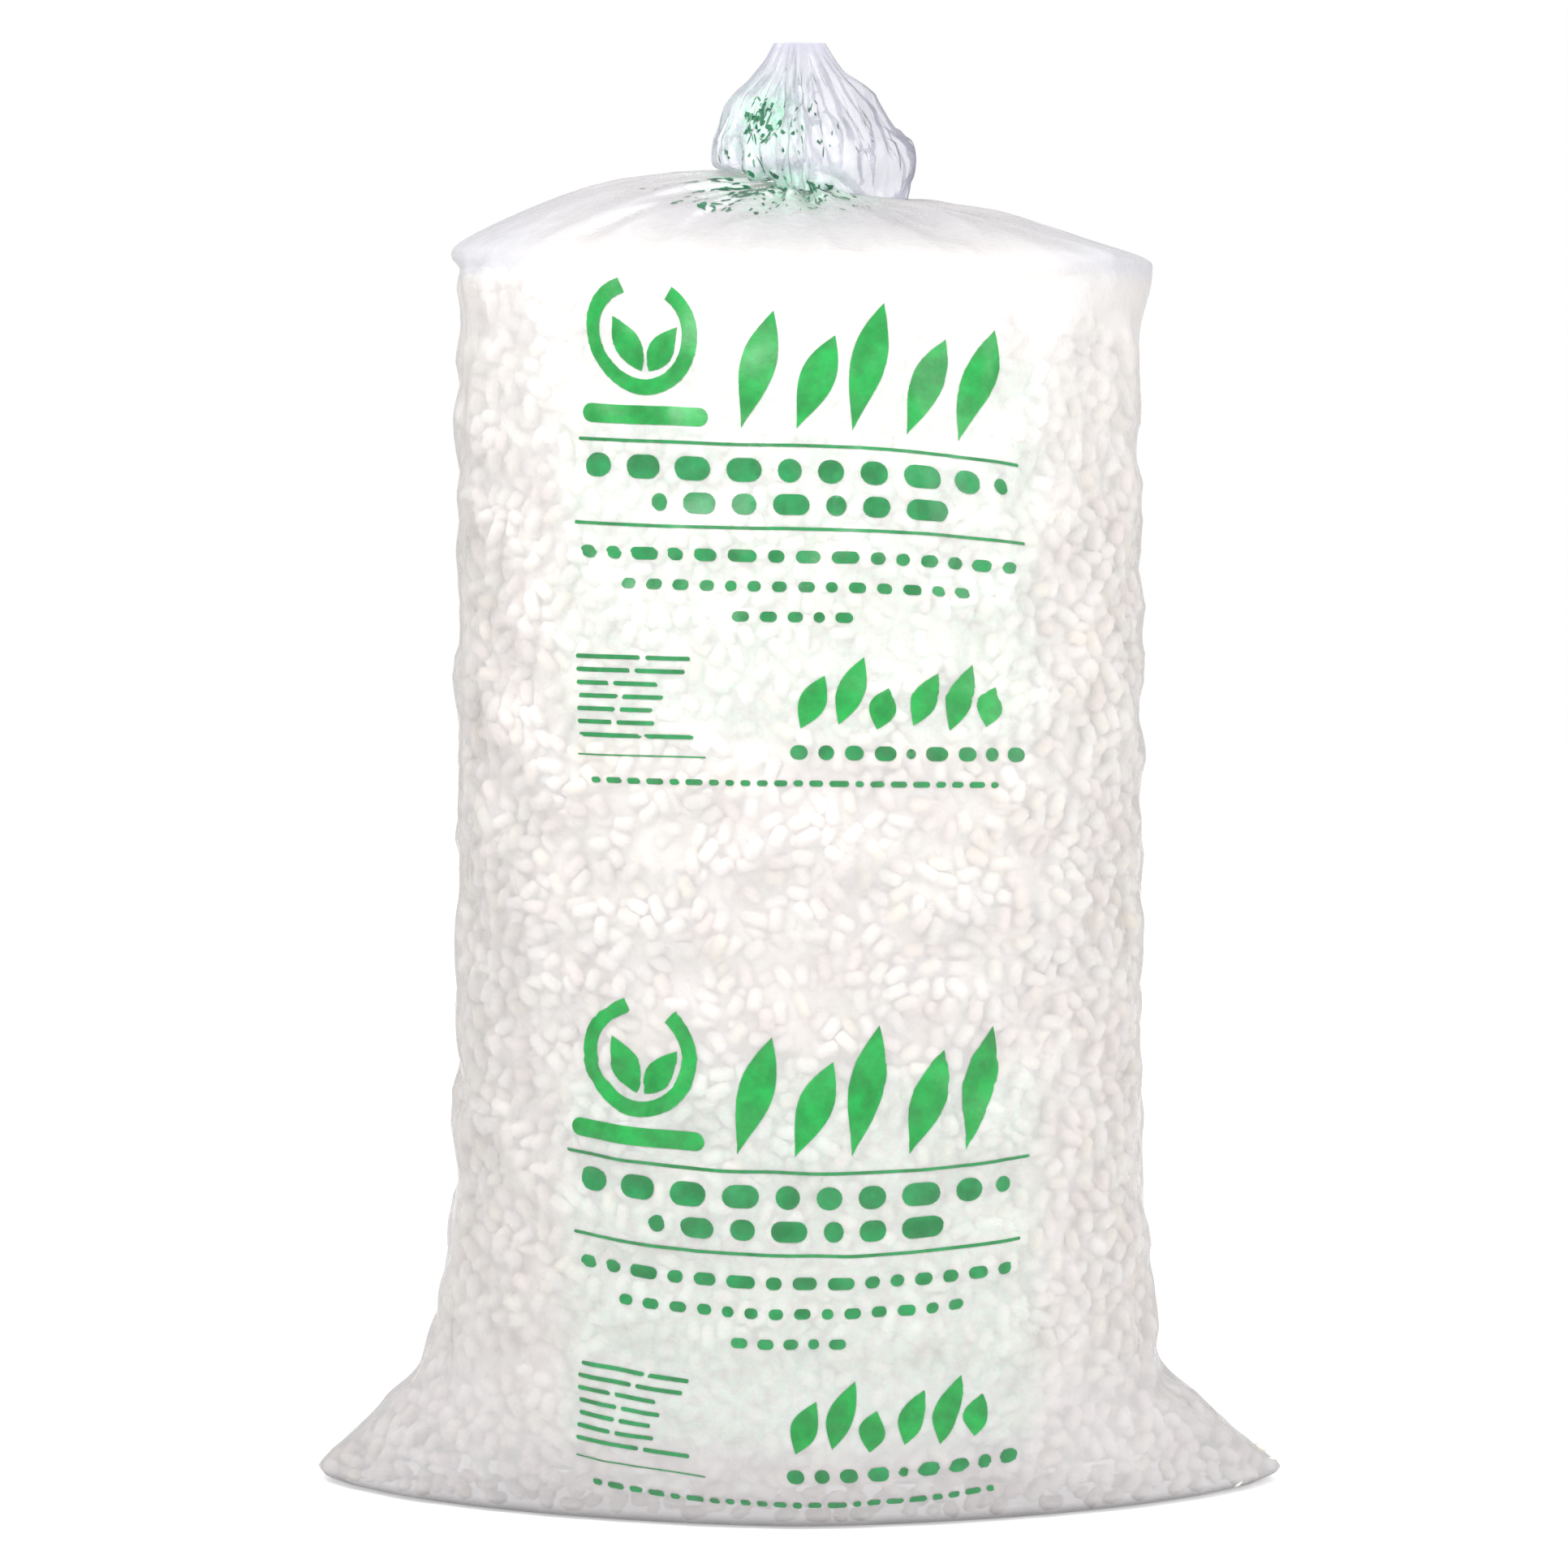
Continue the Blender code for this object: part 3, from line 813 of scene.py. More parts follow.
def paint_film_shade(film, neck_row):
    """Painted shade that greys the film in the tuft's right lobe and the slack corners, and painted light
    that makes it less grey in the tuft's left lobe and back.
    """
    x, y, z = np.moveaxis(film.points, 2, 0)
    rows = np.arange(len(film.rings))[:, None]
    right_lobe_shade = 0.27 * ease((x - 0.035) / 0.05)
    left_lobe_light = 0.10 * ease((-x - 0.045) / 0.04)
    # Painted light: the back of the tuft is made less grey
    back = 0.07 * ease(y / 0.03)
    # Painted shade: the slack corners of the shoulders are made greyer
    corners = 0.36 * ease((np.abs(x) - 0.20) / 0.12) * ease((z - SHOULDER_HEIGHT + 0.012) / 0.015)
    film.slack += np.where(rows > neck_row, right_lobe_shade - left_lobe_light - back, corners)


def add_piece(mesh, finish):
    """A smooth piece in one finish, named as its mesh is."""
    mesh.materials.append(finish)
    mesh.shade_smooth()
    piece = bpy.data.objects.new(mesh.name, mesh)
    bpy.context.scene.collection.objects.link(piece)
    return piece


def sewn_tube(name, points, values):
    """A tube through rows of points: a flat grid, laid on them and sewn up, with values at each."""
    rows, columns = points.shape[:2]
    sheet = bmesh.new()
    bmesh.ops.create_grid(sheet, x_segments=columns, y_segments=rows - 1, size=1.0)
    mesh = bpy.data.meshes.new(name)
    sheet.to_mesh(mesh)
    wrapped = np.concatenate((points, points[:, :1]), axis=1)
    mesh.vertices.foreach_set("co", wrapped.astype(np.float32).ravel())
    for key, value in values.items():
        held = mesh.attributes.new(key, "FLOAT", "POINT")
        value = np.concatenate((value, value[:, :1]), axis=1)
        held.data.foreach_set("value", value.astype(np.float32).ravel())
    sheet.clear()
    sheet.from_mesh(mesh)
    bmesh.ops.remove_doubles(sheet, verts=sheet.verts, dist=1e-6)
    sheet.to_mesh(mesh)
    sheet.free()
    return mesh


def film_piece(name, film, start, stop, finish):
    """Some of the film's rows as a piece."""
    points = film.points[start:stop]
    haze = np.repeat([[ring.haze] for ring in film.rings[start:stop]], film.columns, axis=1)
    values = {"haze": haze, "slack": film.slack[start:stop], "stain": film.stain[start:stop]}
    if start == 0:
        points = add_base(points)
        values = {key: np.concatenate((value[:1],) * BASE_ROWS + (value,)) for key, value in values.items()}
    return add_piece(sewn_tube(name, points, values), finish)


def add_base(points):
    """Rows across the flat base, from the weld of the seal out to the base's edge."""
    edge = points[0]
    rows = []
    for step in range(BASE_ROWS):
        share = step / BASE_ROWS
        row = edge * (1.0, share, 1.0)
        row[:, 2] = WELD_DRAW if step == 0 else 0.0
        rows.append(row)
    return np.concatenate((np.stack(rows), points))


def peanut_pieces(matrices, finish, rng):
    """The peanuts, joined into a few pieces from the foot up."""
    kinds = [peanut_shape(kind, rng) for kind in range(PEANUT_KINDS)]
    matrices = sorted(matrices, key=lambda matrix: matrix.translation.z)
    pieces = []
    for start in range(0, len(matrices), PEANUTS_A_PIECE):
        heap = bmesh.new()
        group = matrices[start : start + PEANUTS_A_PIECE]
        for matrix in group:
            nugget = rng.choice(kinds).copy()
            nugget.transform(matrix)
            heap.from_mesh(nugget)
            bpy.data.meshes.remove(nugget)
        mesh = bpy.data.meshes.new(f"peanuts_{start // PEANUTS_A_PIECE + 1}")
        heap.to_mesh(mesh)
        heap.free()
        tint = mesh.attributes.new("tint", "FLOAT", "POINT")
        each = len(kinds[0].vertices)
        shades = [rng.random() for _ in group]
        tint.data.foreach_set("value", np.repeat(shades, each).astype(np.float32))
        pieces.append(add_piece(mesh, finish))
    for kind in kinds:
        bpy.data.meshes.remove(kind)
    return pieces


def crest_height(edge, share):
    """The heap's height at a share of the way out from its middle to its edge."""
    return mix(SHOULDER_HEIGHT - FILL_DROP_FRONT + FILL_CREST_RISE, edge, share * share)


def inner_heap(finish):
    """The deeper filling behind the outer peanuts, seen only between them."""
    stations = []
    for ring in foot_rings()[3:] + body_rings():
        end_inset = 3.2 * HEAP_INSET if ring.height < EAR_HEIGHT else HEAP_INSET
        stations.append(
            ring._replace(
                height=max(ring.height, HEAP_INSET),
                left=ring.left - end_inset,
                right=ring.right - end_inset,
                depth=ring.depth - HEAP_INSET,
            )
        )
    core = Film(fine_rings(stations, HEAP_PITCH), HEAP_COLUMNS)
    core.push(HEAP_RELIEF * field(core.points, HEAP_PITCH, 2.2))
    edge = core.points[-1]
    crest = []
    for step in range(1, HEAP_CREST_ROWS):
        share = 1.0 - step / (HEAP_CREST_ROWS - 0.5)
        row = edge * (share, share, 1.0)
        row[:, 2] = crest_height(edge[:, 2], share)
        row[:, 2] -= 0.6 * HEAP_INSET * min(1.0, step / 3.0)
        crest.append(row)
    rows = np.concatenate((core.points, np.stack(crest)))
    mesh = sewn_tube("inner_heap", rows, {"tint": np.full(rows.shape[:2], HEAP_TINT)})
    sheet = bmesh.new()
    sheet.from_mesh(mesh)
    bmesh.ops.holes_fill(sheet, edges=sheet.edges, sides=0)
    bmesh.ops.triangulate(sheet, faces=[face for face in sheet.faces if len(face.verts) > 4])
    sheet.to_mesh(mesh)
    sheet.free()
    return add_piece(mesh, finish)


def outline_shape(sheet, points):
    """A flat shape with the given outline."""
    verts = [sheet.verts.new((x, 0.0, z)) for x, z in points]
    sheet.faces.new(verts)


def bar(sheet, left, right, top, bottom):
    """A bar with half-round ends."""
    radius = min((top - bottom) / 2, (right - left) / 2)
    middle = (top + bottom) / 2
    points = []
    steps = 8
    for end, start in ((right - radius, -0.5), (left + radius, 0.5)):
        for step in range(steps + 1):
            turn = math.pi * (step / steps + start)
            points.append((end + radius * math.cos(turn), middle + radius * math.sin(turn)))
    outline_shape(sheet, points)


def leaf(sheet, x, z, length, width, lean, belly=0.45):
    """A pointed leaf from its foot at x, z, along the way it leans, as degrees from upright."""
    turn = math.radians(lean)
    points = []
    steps = 14
    for side in (1, -1):
        for step in range(steps):
            share = step / steps if side == 1 else 1.0 - step / steps
            swell = math.sin(math.pi * share ** (math.log(0.5) / math.log(belly)))
            across, up = side * width / 2 * swell, length * share
            points.append(
                (
                    x + across * math.cos(turn) + up * math.sin(turn),
                    z - across * math.sin(turn) + up * math.cos(turn),
                )
            )
    outline_shape(sheet, points)


def ring_band(sheet, x, z, outer, inner, start, end):
    """A part of a ring between two angles in degrees."""
    points = []
    steps = 30
    for radius, way in ((outer, 1), (inner, -1)):
        for step in range(steps + 1):
            share = step / steps if way == 1 else 1.0 - step / steps
            turn = math.radians(mix(start, end, share))
            points.append((x + radius * math.cos(turn), z + radius * math.sin(turn)))
    outline_shape(sheet, points)


def bars_in_line(sheet, left, right, top, bottom, count, gap, rng):
    """A line of bars of unlike lengths."""
    shares = [rng.uniform(0.6, 1.6) for _ in range(count)]
    room = right - left - gap * (count - 1)
    at = left
    for share in shares:
        wide = room * share / sum(shares)
        bar(sheet, at, at + wide, top, bottom)
        at += wide + gap


def bold_shapes():
    """The bright shapes, flat: a sprouting ring over a bar, and rows of large and small leaves."""
    sheet = bmesh.new()
    ring_band(sheet, -0.158, 0.102, 0.058, 0.043, 110, 415)
    leaf(sheet, -0.160, 0.067, 0.058, 0.028, -26)
    leaf(sheet, -0.152, 0.067, 0.054, 0.026, 36)
    bar(sheet, -0.225, -0.092, 0.034, 0.016)
    for index, (tall, lean) in enumerate(LARGE_LEAVES):
        leaf(sheet, -0.060 + 0.055 * index, 0.016, tall, 0.034, lean, 0.55)
    for index in range(SMALL_LEAVES):
        foot = -0.272 + 0.004 * (index % 2)
        tall = 0.056 + 0.016 * math.sin(2.1 * index)
        leaf(sheet, 0.036 * index, foot, tall, 0.026, 24 - 4 * (index % 3), 0.5)
    return sheet


def ruled_shapes(rng):
    """The darker shapes, flat: thin rules, lines of heavy and small bars, and a block of thin ones."""
    sheet = bmesh.new()
    for level in (0.0, -0.080):
        bar(sheet, -PRINT_HALF, PRINT_HALF - 0.004, level + 0.0016, level - 0.0016)
    bars_in_line(sheet, -0.222, 0.214, -0.013, -0.036, 10, 0.016, rng)
    bars_in_line(sheet, -0.150, 0.146, -0.047, -0.067, 7, 0.016, rng)
    bars_in_line(sheet, -0.226, 0.220, -0.101, -0.113, 15, 0.011, rng)
    bars_in_line(sheet, -0.182, 0.170, -0.131, -0.141, 14, 0.011, rng)
    bars_in_line(sheet, -0.066, 0.050, -0.160, -0.170, 5, 0.010, rng)
    bars_in_line(sheet, -0.010, 0.222, -0.288, -0.302, 9, 0.010, rng)
    for line in range(7):
        top = -0.205 - 0.0125 * line
        bars_in_line(sheet, -0.220, -0.220 + rng.uniform(0.05, 0.12), top, top - 0.0042, 2, 0.005, rng)
    bar(sheet, -0.220, -0.090, -0.300, -0.3015)
    bars_in_line(sheet, -0.206, 0.196, -0.322, -0.328, 22, 0.006, rng)
    return sheet


def lay_print(name, flat, film, finish):
    """Cuts flat shapes fine, and lays them on the film's front in two blocks."""
    cuts = int(2 * PRINT_HALF / PRINT_CELL) + 2
    for step in range(cuts + 1):
        across = -PRINT_HALF + PRINT_CELL * (step - 1)
        slice_flat(flat, (across, 0.0, 0.0), (1.0, 0.0, 0.0))
    for step in range(int(PRINT_HEIGHT / PRINT_CELL)):
        slice_flat(flat, (0.0, 0.0, PRINT_TOP - PRINT_CELL * step), (0.0, 0.0, 1.0))
    bmesh.ops.triangulate(flat, faces=flat.faces)
    heights = film.points[:, FRONT_COLUMN, 2]
    top = int(np.argmax(heights > SHOULDER_HEIGHT + 0.02))
    shapes = bmesh.new()
    pattern = bpy.data.meshes.new(name)
    flat.to_mesh(pattern)
    flat.free()
    for level, sag in ((UPPER_RULE, 0.0), (LOWER_RULE, LOWER_SAG)):
        placed = pattern.copy()
        for vert in placed.vertices:
            x, z = vert.co.x, vert.co.z
            droop = sag * (1.0 - (x / PRINT_HALF) ** 2) * (1.0 - 0.25 * (z + 0.1) / 0.3)
            row = np.interp(level + z - droop - PRINT_TILT * x, heights[:top], np.arange(top))
            whole = film.points[int(row)]
            pitch = np.linalg.norm(whole[FRONT_COLUMN + 1] - whole[FRONT_COLUMN])
            point, normal = film.at(row, FRONT_COLUMN + x / pitch)
            vert.co = Vector(point + normal * PRINT_LIFT)
        shapes.from_mesh(placed)
        bpy.data.meshes.remove(placed)
    bpy.data.meshes.remove(pattern)
    mesh = bpy.data.meshes.new(name)
    shapes.normal_update()
    shapes.to_mesh(mesh)
    shapes.free()
    return add_piece(mesh, finish)


def slice_flat(flat, place, way):
    """Cuts flat shapes along a plane, and keeps both sides."""
    geometry = flat.verts[:] + flat.edges[:] + flat.faces[:]
    bmesh.ops.bisect_plane(flat, geom=geometry, dist=1e-6, plane_co=place, plane_no=way)


class Cluster(NamedTuple):
    """A drift of flecks: its rows and columns of the film, their count, size and stretch."""

    low_row: float
    high_row: float
    column: float
    spread: float
    count: int
    size: float
    stretch: float


def neck_clusters(film, neck_row):
    """Print that the gathers have folded up on the slack film in front of the neck."""
    lengths = film.length - film.length[neck_row]
    under, near, beyond = np.interp((-0.150, -0.105, -0.045), lengths, np.arange(len(lengths)))
    return (
        Cluster(under, beyond, FRONT_COLUMN - 14, 24, 90, 0.0026, 2.4),
        Cluster(near, beyond, FRONT_COLUMN - 34, 12, 44, 0.0052, 2.6),
        Cluster(near, beyond, FRONT_COLUMN + 12, 8, 34, 0.0046, 2.6),
        Cluster(under - 2, near, FRONT_COLUMN - 30, 9, 20, 0.0056, 2.0),
    )


def tuft_clusters(film, neck_row):
    """Print folded up in the front of the tuft, from its hanging hem upwards."""
    hang = film.points[neck_row:, FRONT_COLUMN, 2]
    lowest = int(np.argmin(hang))
    rises = (-0.030, -0.006, 0.018, 0.072)
    hem, edge, low, high = (
        neck_row + lowest + int(np.argmax(hang[lowest:] > NECK_HEIGHT + rise)) for rise in rises
    )
    return (
        Cluster(low, high, FRONT_COLUMN - 29, 8, 70, 0.0036, 2.4),
        Cluster(low, high, FRONT_COLUMN - 12, 24, 40, 0.0024, 2.0),
        Cluster(hem, edge, FRONT_COLUMN - 42, 13, 34, 0.0052, 1.3),
        Cluster(hem, edge, FRONT_COLUMN + 6, 6, 14, 0.0046, 1.6),
    )


def fleck_piece(name, film, clusters, finish, rng):
    """Torn-looking flecks of ink, each a fan of triangles that lies on the film."""
    flecks = bmesh.new()
    for low_row, high_row, middle_column, column_spread, count, size, stretch in clusters:
        for _ in range(count):
            row = rng.uniform(low_row, high_row)
            column = middle_column + rng.gauss(0.0, column_spread)
            long, wide = size * rng.uniform(0.4, 1.4), size * rng.uniform(0.2, 0.6)
            turn = rng.uniform(0.0, math.pi)
            point, normal = film.at(row, column)
            beside, _ = film.at(row, column + 1.0)
            above, _ = film.at(row + 1.0, column)
            across = 1.0 / max(float(np.linalg.norm(beside - point)), FLECK_PITCH)
            up = stretch / max(float(np.linalg.norm(above - point)), FLECK_PITCH)
            middle = flecks.verts.new(point + normal * PRINT_LIFT)
            rim = []
            for step in range(FLECK_SIDES):
                angle = math.tau * step / FLECK_SIDES
                reach = rng.uniform(0.5, 1.1)
                x, z = long * reach * math.cos(angle), wide * reach * math.sin(angle)
                turned_x = x * math.cos(turn) - z * math.sin(turn)
                turned_z = x * math.sin(turn) + z * math.cos(turn)
                spot, out = film.at(row + turned_z * up, column + turned_x * across)
                rim.append(flecks.verts.new(spot + out * PRINT_LIFT))
            for first, second in zip(rim, rim[1:] + rim[:1]):
                flecks.faces.new((middle, first, second))
    mesh = bpy.data.meshes.new(name)
    flecks.normal_update()
    flecks.to_mesh(mesh)
    flecks.free()
    return add_piece(mesh, finish)


class Nodes:
    """A short way to build a material's nodes."""

    def __init__(self, name):
        self.material = bpy.data.materials.new(name)
        self.material.use_nodes = True
        self.tree = self.material.node_tree
        self.shader = self.tree.nodes["Principled BSDF"]

    def add(self, kind, **values):
        node = self.tree.nodes.new(kind)
        for name, value in values.items():
            if name in node.inputs:
                node.inputs[name].default_value = value
            else:
                setattr(node, name, value)
        return node

    def join(self, output, target):
        self.tree.links.new(output, target)

    def set(self, **values):
        for name, value in values.items():
            self.shader.inputs[name.replace("_", " ")].default_value = value

    def place(self):
        return self.add("ShaderNodeTexCoord").outputs["Object"]

    def noise(self, scale, detail=2.0, roughness=0.5, distortion=0.0):
        node = self.add("ShaderNodeTexNoise")
        node.inputs["Scale"].default_value = scale
        node.inputs["Detail"].default_value = detail
        node.inputs["Roughness"].default_value = roughness
        node.inputs["Distortion"].default_value = distortion
        self.join(self.place(), node.inputs["Vector"])
        return node.outputs["Fac"]

    def attribute(self, name):
        node = self.add("ShaderNodeAttribute")
        node.attribute_name = name
        return node.outputs["Fac"]

    def ramp(self, factor, stops):
        node = self.add("ShaderNodeValToRGB")
        band = node.color_ramp
        while len(band.elements) < len(stops):
            band.elements.new(0.5)
        for element, (place, color) in zip(band.elements, stops):
            element.position = place
            element.color = (*color, 1.0)
        self.join(factor, node.inputs["Fac"])
        return node.outputs["Color"]

    def math(self, operation, first, second):
        node = self.add("ShaderNodeMath")
        node.operation = operation
        for value, socket in ((first, node.inputs[0]), (second, node.inputs[1])):
            if isinstance(value, (int, float)):
                socket.default_value = value
            else:
                self.join(value, socket)
        return node.outputs["Value"]

    def blend(self, factor, first, second, way="MIX"):
        node = self.add("ShaderNodeMix")
        node.data_type = "RGBA"
        node.blend_type = way
        for value, socket in ((factor, node.inputs[0]), (first, node.inputs[6]), (second, node.inputs[7])):
            if isinstance(value, (int, float)):
                socket.default_value = value
            elif isinstance(value, tuple):
                socket.default_value = (*value, 1.0)
            else:
                self.join(value, socket)
        return node.outputs[2]

    def bump(self, height, strength, distance, under=None):
        node = self.add("ShaderNodeBump")
        node.inputs["Strength"].default_value = strength
        node.inputs["Distance"].default_value = distance
        self.join(height, node.inputs["Height"])
        if under is not None:
            self.join(under, node.inputs["Normal"])
        return node.outputs["Normal"]


def starch_finish():
    """Puffed starch: matt, warm white, each peanut of its own faint tint, with small cells."""
    made = Nodes("starch_peanuts")
    tints = made.ramp(
        made.attribute("tint"),
        (
            (0.0, (0.94, 0.83, 0.82)),
            (0.3, (0.95, 0.91, 0.87)),
            (0.7, (0.96, 0.93, 0.90)),
            (0.88, (0.95, 0.89, 0.76)),
            (1.0, (0.93, 0.80, 0.76)),
        ),
    )
    mottle = made.ramp(made.noise(140.0, 3.0), ((0.3, (0.96, 0.96, 0.96)), (0.7, (1.0, 1.0, 1.0))))
    drift = made.ramp(
        made.noise(15.0, 2.0),
        (
            (0.36, (1.0, 0.955, 0.945)),
            (0.47, (1.0, 1.0, 1.0)),
            (0.56, (1.0, 1.0, 1.0)),
            (0.66, (1.0, 0.975, 0.90)),
        ),
    )
    flecked = made.blend(1.0, tints, mottle, "MULTIPLY")
    made.join(made.blend(1.0, flecked, drift, "MULTIPLY"), made.shader.inputs["Base Color"])
    made.set(Roughness=0.9, Subsurface_Weight=0.35, Subsurface_Scale=0.006)
    made.shader.inputs["Subsurface Radius"].default_value = (1.0, 0.9, 0.8)
    cells = made.bump(made.noise(900.0, 3.0, 0.6), 0.5, 0.0006)
    made.join(made.bump(made.noise(260.0, 2.0), 0.4, 0.0010, cells), made.shader.inputs["Normal"])
    return made.material


def film_finish():
    """Thin blown film: clear and glossy, milkier where it is gathered, with fine wrinkles, painted shade
    that greys it where it hangs slack, and a painted shadow along its foot.
    """
    made = Nodes("clear_film_looks")
    made.set(Roughness=0.16, IOR=1.5)
    # Painted shade: as the film hangs slacker, its milky white colour turns grey and lavender, darkest at
    # the mouth
    milk_and_shade = made.ramp(
        made.attribute("slack"),
        (
            (0.0, (0.95, 0.93, 0.92)),
            (0.35, (0.86, 0.86, 0.91)),
            (0.62, (0.67, 0.67, 0.74)),
            (1.0, (0.47, 0.465, 0.55)),
        ),
    )
    blotch = made.ramp(made.noise(120.0, 3.0, 0.6), ((0.30, (0.0, 0.0, 0.0)), (0.62, (1.0, 1.0, 1.0))))
    bloom = made.math("MULTIPLY", made.attribute("stain"), blotch)
    tinted = made.blend(bloom, milk_and_shade, (0.44, 0.92, 0.64))
    # Painted shadow: the colour goes almost black where the film meets the floor, with painted shade that
    # darkens it a little up to most of the bag's height
    height = made.add("ShaderNodeSeparateXYZ")
    made.join(made.place(), height.inputs["Vector"])
    painted_foot_shadow = made.ramp(
        height.outputs["Z"],
        (
            (0.003, (0.14, 0.13, 0.14)),
            (0.014, (0.70, 0.69, 0.71)),
            (0.2, (0.905, 0.90, 0.905)),
            (0.9, (1.0, 1.0, 1.0)),
        ),
    )
    made.join(made.blend(1.0, tinted, painted_foot_shadow, "MULTIPLY"), made.shader.inputs["Base Color"])
    cloud = made.math("MULTIPLY_ADD", made.noise(26.0, 4.0, 0.6, 0.6), 0.4)
    cloud.node.inputs[2].default_value = 0.80
    milky = made.math("MULTIPLY", made.attribute("haze"), cloud)
    milky = made.math("ADD", milky, made.math("MULTIPLY", bloom, 0.35))
    edge = made.add("ShaderNodeFresnel", IOR=1.36)
    slanted = made.math("MULTIPLY", edge.outputs["Fac"], 0.95)
    made.join(made.math("MAXIMUM", milky, slanted), made.shader.inputs["Alpha"])
    wrinkles = made.bump(made.noise(210.0, 3.0, 0.6, 1.5), 0.30, 0.0008)
    wrinkles = made.bump(made.noise(70.0, 2.0, 0.5, 2.0), 0.30, 0.0022, wrinkles)
    made.join(wrinkles, made.shader.inputs["Normal"])
    made.join(wrinkles, edge.inputs["Normal"])
    return made.material


def ink_finish(name, dark, bright):
    """Print on film: a thin glossy ink whose green varies a little with the roller."""
    made = Nodes(name)
    green = made.ramp(made.noise(38.0, 3.0, 0.6), ((0.35, dark), (0.68, bright)))
    made.join(green, made.shader.inputs["Base Color"])
    thin = made.ramp(made.noise(95.0, 3.0, 0.7), ((0.2, (0.80, 0.80, 0.80)), (0.6, (0.97, 0.97, 0.97))))
    made.join(thin, made.shader.inputs["Alpha"])
    made.set(Roughness=0.35)
    made.join(made.bump(made.noise(210.0, 3.0, 0.6, 1.5), 0.3, 0.0008), made.shader.inputs["Normal"])
    return made.material


def tie_finish():
    """Pale moulded strap, slightly clouded, with a fine grain."""
    made = Nodes("pale_strap")
    clouded = made.ramp(made.noise(160.0, 2.0), ((0.3, (0.80, 0.80, 0.78)), (0.7, (0.88, 0.88, 0.87))))
    made.join(clouded, made.shader.inputs["Base Color"])
    made.set(Roughness=0.42)
    made.join(made.bump(made.noise(700.0, 1.0), 0.3, 0.0003), made.shader.inputs["Normal"])
    return made.material


def floor_finish():
    """A white floor that the camera sees as white, apart from the object's soft shadow."""
    made = Nodes("floor_white")
    made.set(Base_Color=(0.90, 0.90, 0.90, 1.0), Roughness=1.0)
    made.shader.inputs["Specular IOR Level"].default_value = 0.0
    path = made.add("ShaderNodeLightPath")
    seen = made.math("MAXIMUM", path.outputs["Is Camera Ray"], path.outputs["Is Glossy Ray"])
    seen = made.math("MAXIMUM", seen, path.outputs["Is Transmission Ray"])
    glow = made.add("ShaderNodeEmission")
    glow.inputs["Color"].default_value = (1.0, 1.0, 1.0, 1.0)
    made.join(made.math("MULTIPLY", seen, FLOOR_GLOW), glow.inputs["Strength"])
    both = made.add("ShaderNodeAddShader")
    made.join(made.shader.outputs["BSDF"], both.inputs[0])
    made.join(glow.outputs["Emission"], both.inputs[1])
    output = made.tree.nodes["Material Output"]
    made.join(both.outputs["Shader"], output.inputs["Surface"])
    return made.material


def add_floor():
    """A wide round floor, on the stage only."""
    slab = bmesh.new()
    bmesh.ops.create_circle(slab, cap_ends=True, segments=64, radius=FLOOR_RADIUS)
    mesh = bpy.data.meshes.new("floor")
    slab.to_mesh(mesh)
    slab.free()
    mesh.materials.append(floor_finish())
    floor = bpy.data.objects.new("floor", mesh)
    bpy.context.scene.collection.objects.link(floor)


def add_world():
    """An even white surround, plain white to the camera and through clear pieces."""
    world = bpy.data.worlds.new("studio")
    bpy.context.scene.world = world
    world.use_nodes = True
    tree = world.node_tree
    path = tree.nodes.new("ShaderNodeLightPath")
    seen = tree.nodes.new("ShaderNodeMath")
    seen.operation = "MAXIMUM"
    tree.links.new(path.outputs["Is Camera Ray"], seen.inputs[0])
    tree.links.new(path.outputs["Is Transmission Ray"], seen.inputs[1])
    strength = tree.nodes.new("ShaderNodeMapRange")
    strength.inputs["To Min"].default_value = SURROUND_LIGHT
    strength.inputs["To Max"].default_value = 1.0
    tree.links.new(seen.outputs["Value"], strength.inputs["Value"])
    background = tree.nodes["Background"]
    background.inputs["Color"].default_value = (1.0, 1.0, 1.0, 1.0)
    tree.links.new(strength.outputs["Result"], background.inputs["Strength"])


def add_lamp(name, place, target, size, power):
    """A round lamp that faces its target."""
    lamp = bpy.data.lights.new(name, "AREA")
    lamp.shape = "DISK"
    lamp.size = size
    lamp.energy = power
    holder = bpy.data.objects.new(name, lamp)
    holder.location = place
    holder.rotation_mode = "QUATERNION"
    holder.rotation_quaternion = (Vector(target) - Vector(place)).to_track_quat("-Z", "Y")
    bpy.context.scene.collection.objects.link(holder)


def add_camera():
    """The photograph's view, from the height of the bag's upper half and turned down a little."""
    data = bpy.data.cameras.new("camera")
    data.sensor_width = 36.0
    data.lens = FOCAL_PIXELS / PHOTO_SIDE * data.sensor_width
    camera = bpy.data.objects.new("camera", data)
    camera.location = (EYE_SIDE, -EYE_DISTANCE, EYE_HEIGHT)
    down = math.atan((PHOTO_SIDE / 2 - HORIZON_ROW) / FOCAL_PIXELS)
    camera.rotation_euler = (math.pi / 2 - down, 0.0, 0.0)
    bpy.context.scene.collection.objects.link(camera)
    bpy.context.scene.camera = camera


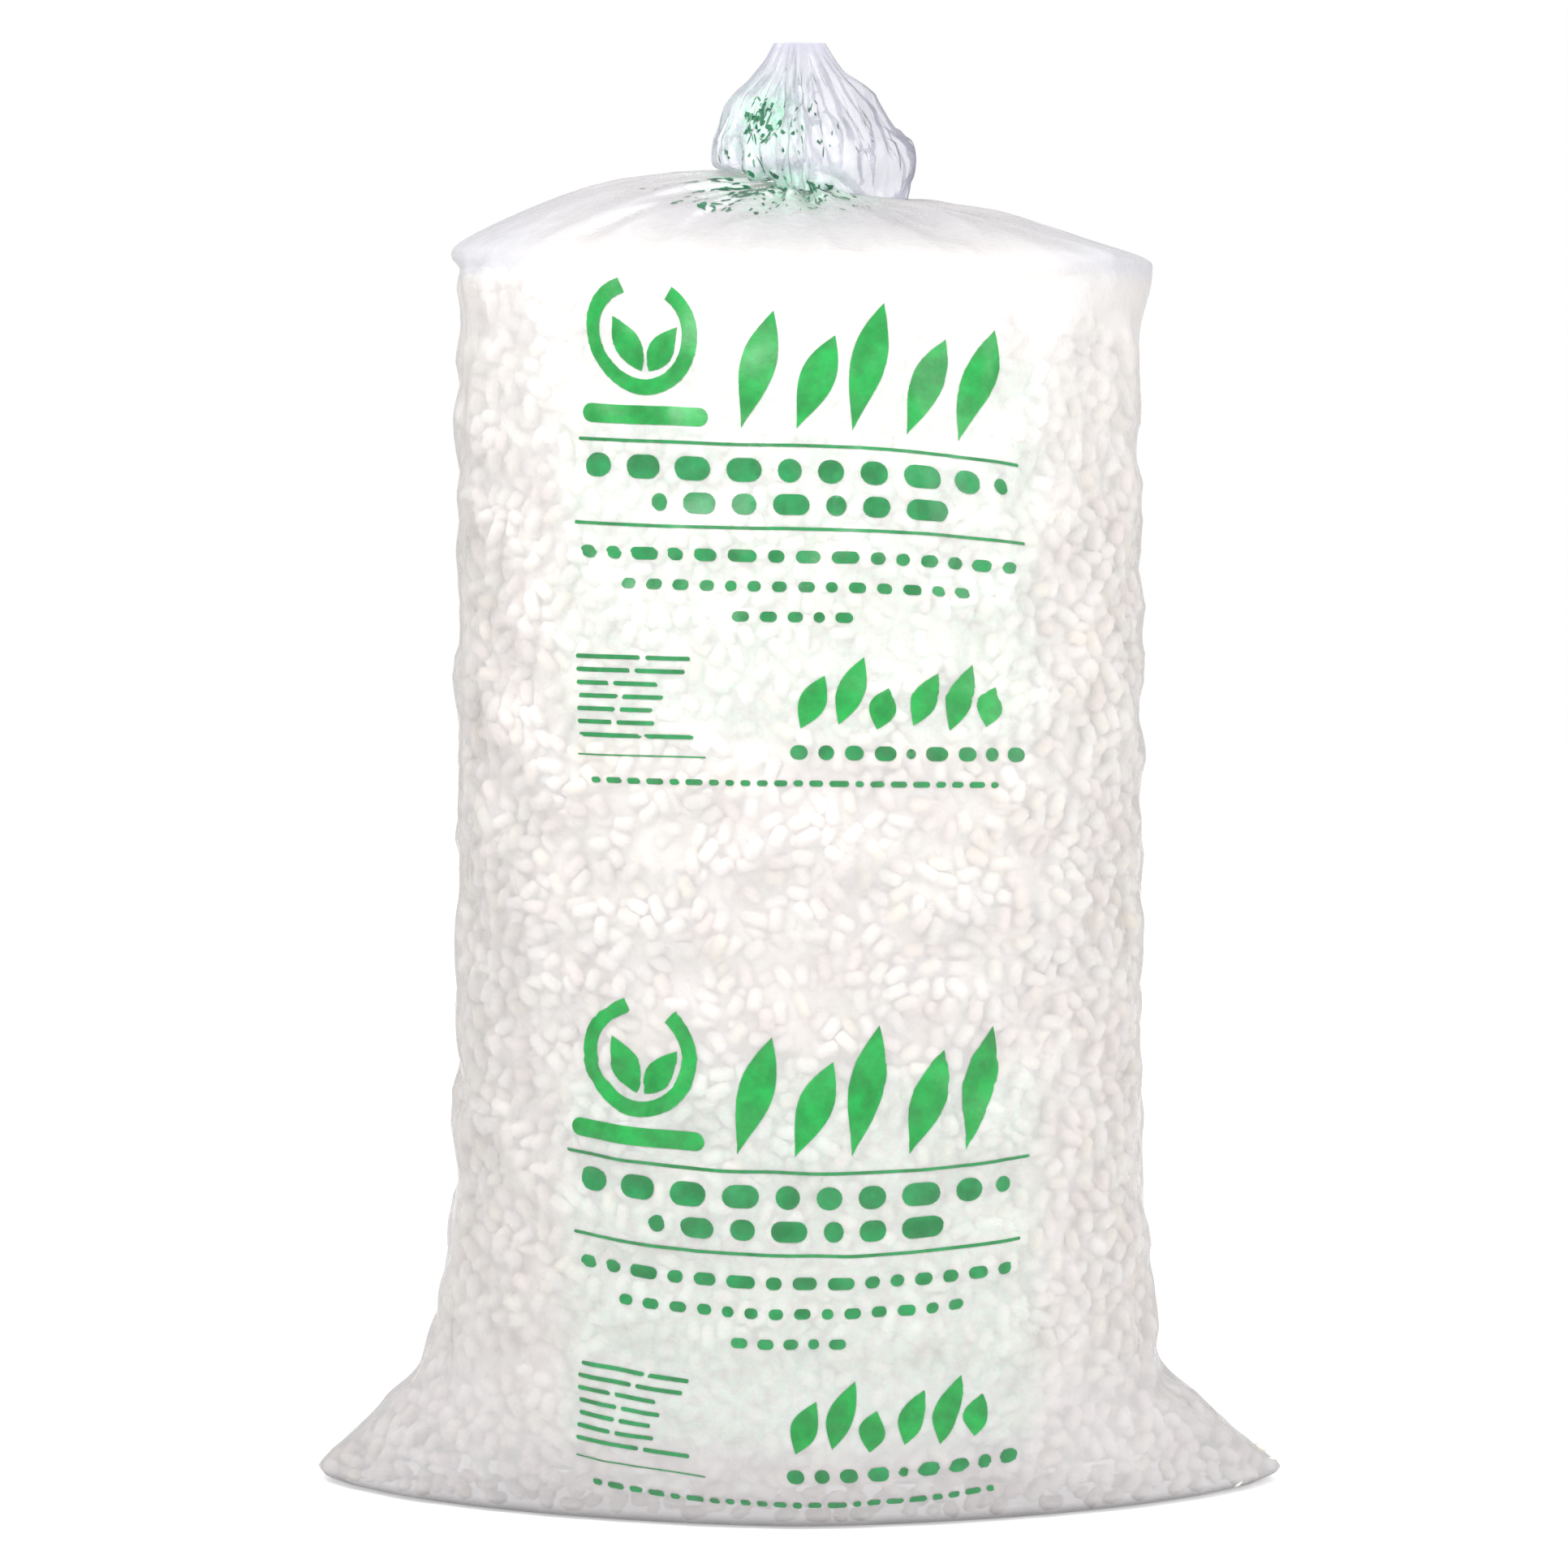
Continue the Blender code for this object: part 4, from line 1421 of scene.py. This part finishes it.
def make_film(rng):
    """The folded film, and its rows at the neck and at the loosefill's edge."""
    filled = foot_rings() + body_rings()
    lower = fine_rings(filled + shoulder_rings() + neck_rings()[:1], ROW_PITCH)
    upper = fine_rings(neck_rings() + tuft_rings(), TUFT_ROW_PITCH)
    film = Film(lower + upper[1:], COLUMNS)
    neck_row = len(lower) - 1
    edge_height = filled[-1].height
    top_row = int(np.argmin([abs(ring.height - edge_height) for ring in lower]))
    lump_film(film)
    fold_ears(film)
    gather_film(film)
    pleat_film(film, neck_row, rng)
    crumple_film(film, rng)
    return film, neck_row, top_row


def main():
    bpy.context.scene.view_settings.view_transform = "Standard"
    rng = random.Random(SEED)
    starch = starch_finish()
    clear = film_finish()
    bright_ink = ink_finish("bright_ink", (0.003, 0.22, 0.034), (0.004, 0.36, 0.058))
    folded_ink = ink_finish("folded_ink", (0.003, 0.065, 0.034), (0.010, 0.20, 0.080))
    dark_ink = ink_finish("dark_ink", (0.006, 0.16, 0.040), (0.010, 0.27, 0.075))

    film, neck_row, top_row = make_film(rng)
    packing = Packing()
    laid = pack_sides(film, top_row, packing, rng)
    heaped = pack_crest(film, top_row, packing, rng)
    drape(film, top_row, laid)
    stain_film(film, neck_row)
    paint_film_shade(film, neck_row)
    heaps = peanut_pieces([matrix for matrix, _, _ in laid] + heaped, starch, rng)
    core = inner_heap(starch)

    bag = film_piece("film_lower", film, 0, neck_row + 1, clear)
    free_end = film_piece("film_tuft", film, neck_row, len(film.rings), clear)
    bold = lay_print("print_leaves", bold_shapes(), film, bright_ink)
    ruled = lay_print("print_rules", ruled_shapes(rng), film, dark_ink)
    neck_print = neck_clusters(film, neck_row)
    neck_flecks = fleck_piece("print_gathered", film, neck_print, folded_ink, rng)
    tuft_print = tuft_clusters(film, neck_row)
    tuft_flecks = fleck_piece("print_tuft", film, tuft_print, folded_ink, rng)

    for piece in (*heaps, core):
        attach(piece, "root")
        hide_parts("loosefill")
    for piece in (bag, free_end, bold, ruled, neck_flecks, tuft_flecks):
        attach(piece, "root")
        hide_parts("film_bag")
    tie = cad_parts["neck_tie"]
    tie.data.materials.clear()
    tie.data.materials.append(tie_finish())

    add_floor()
    add_world()
    add_lamp("key", (-0.65, -1.9, 2.4), (0.0, 0.0, 1.1), size=1.6, power=47)
    add_lamp("fill", (2.4, -2.2, 1.6), (0.0, 0.0, 0.7), size=1.8, power=26)
    add_camera()


main()
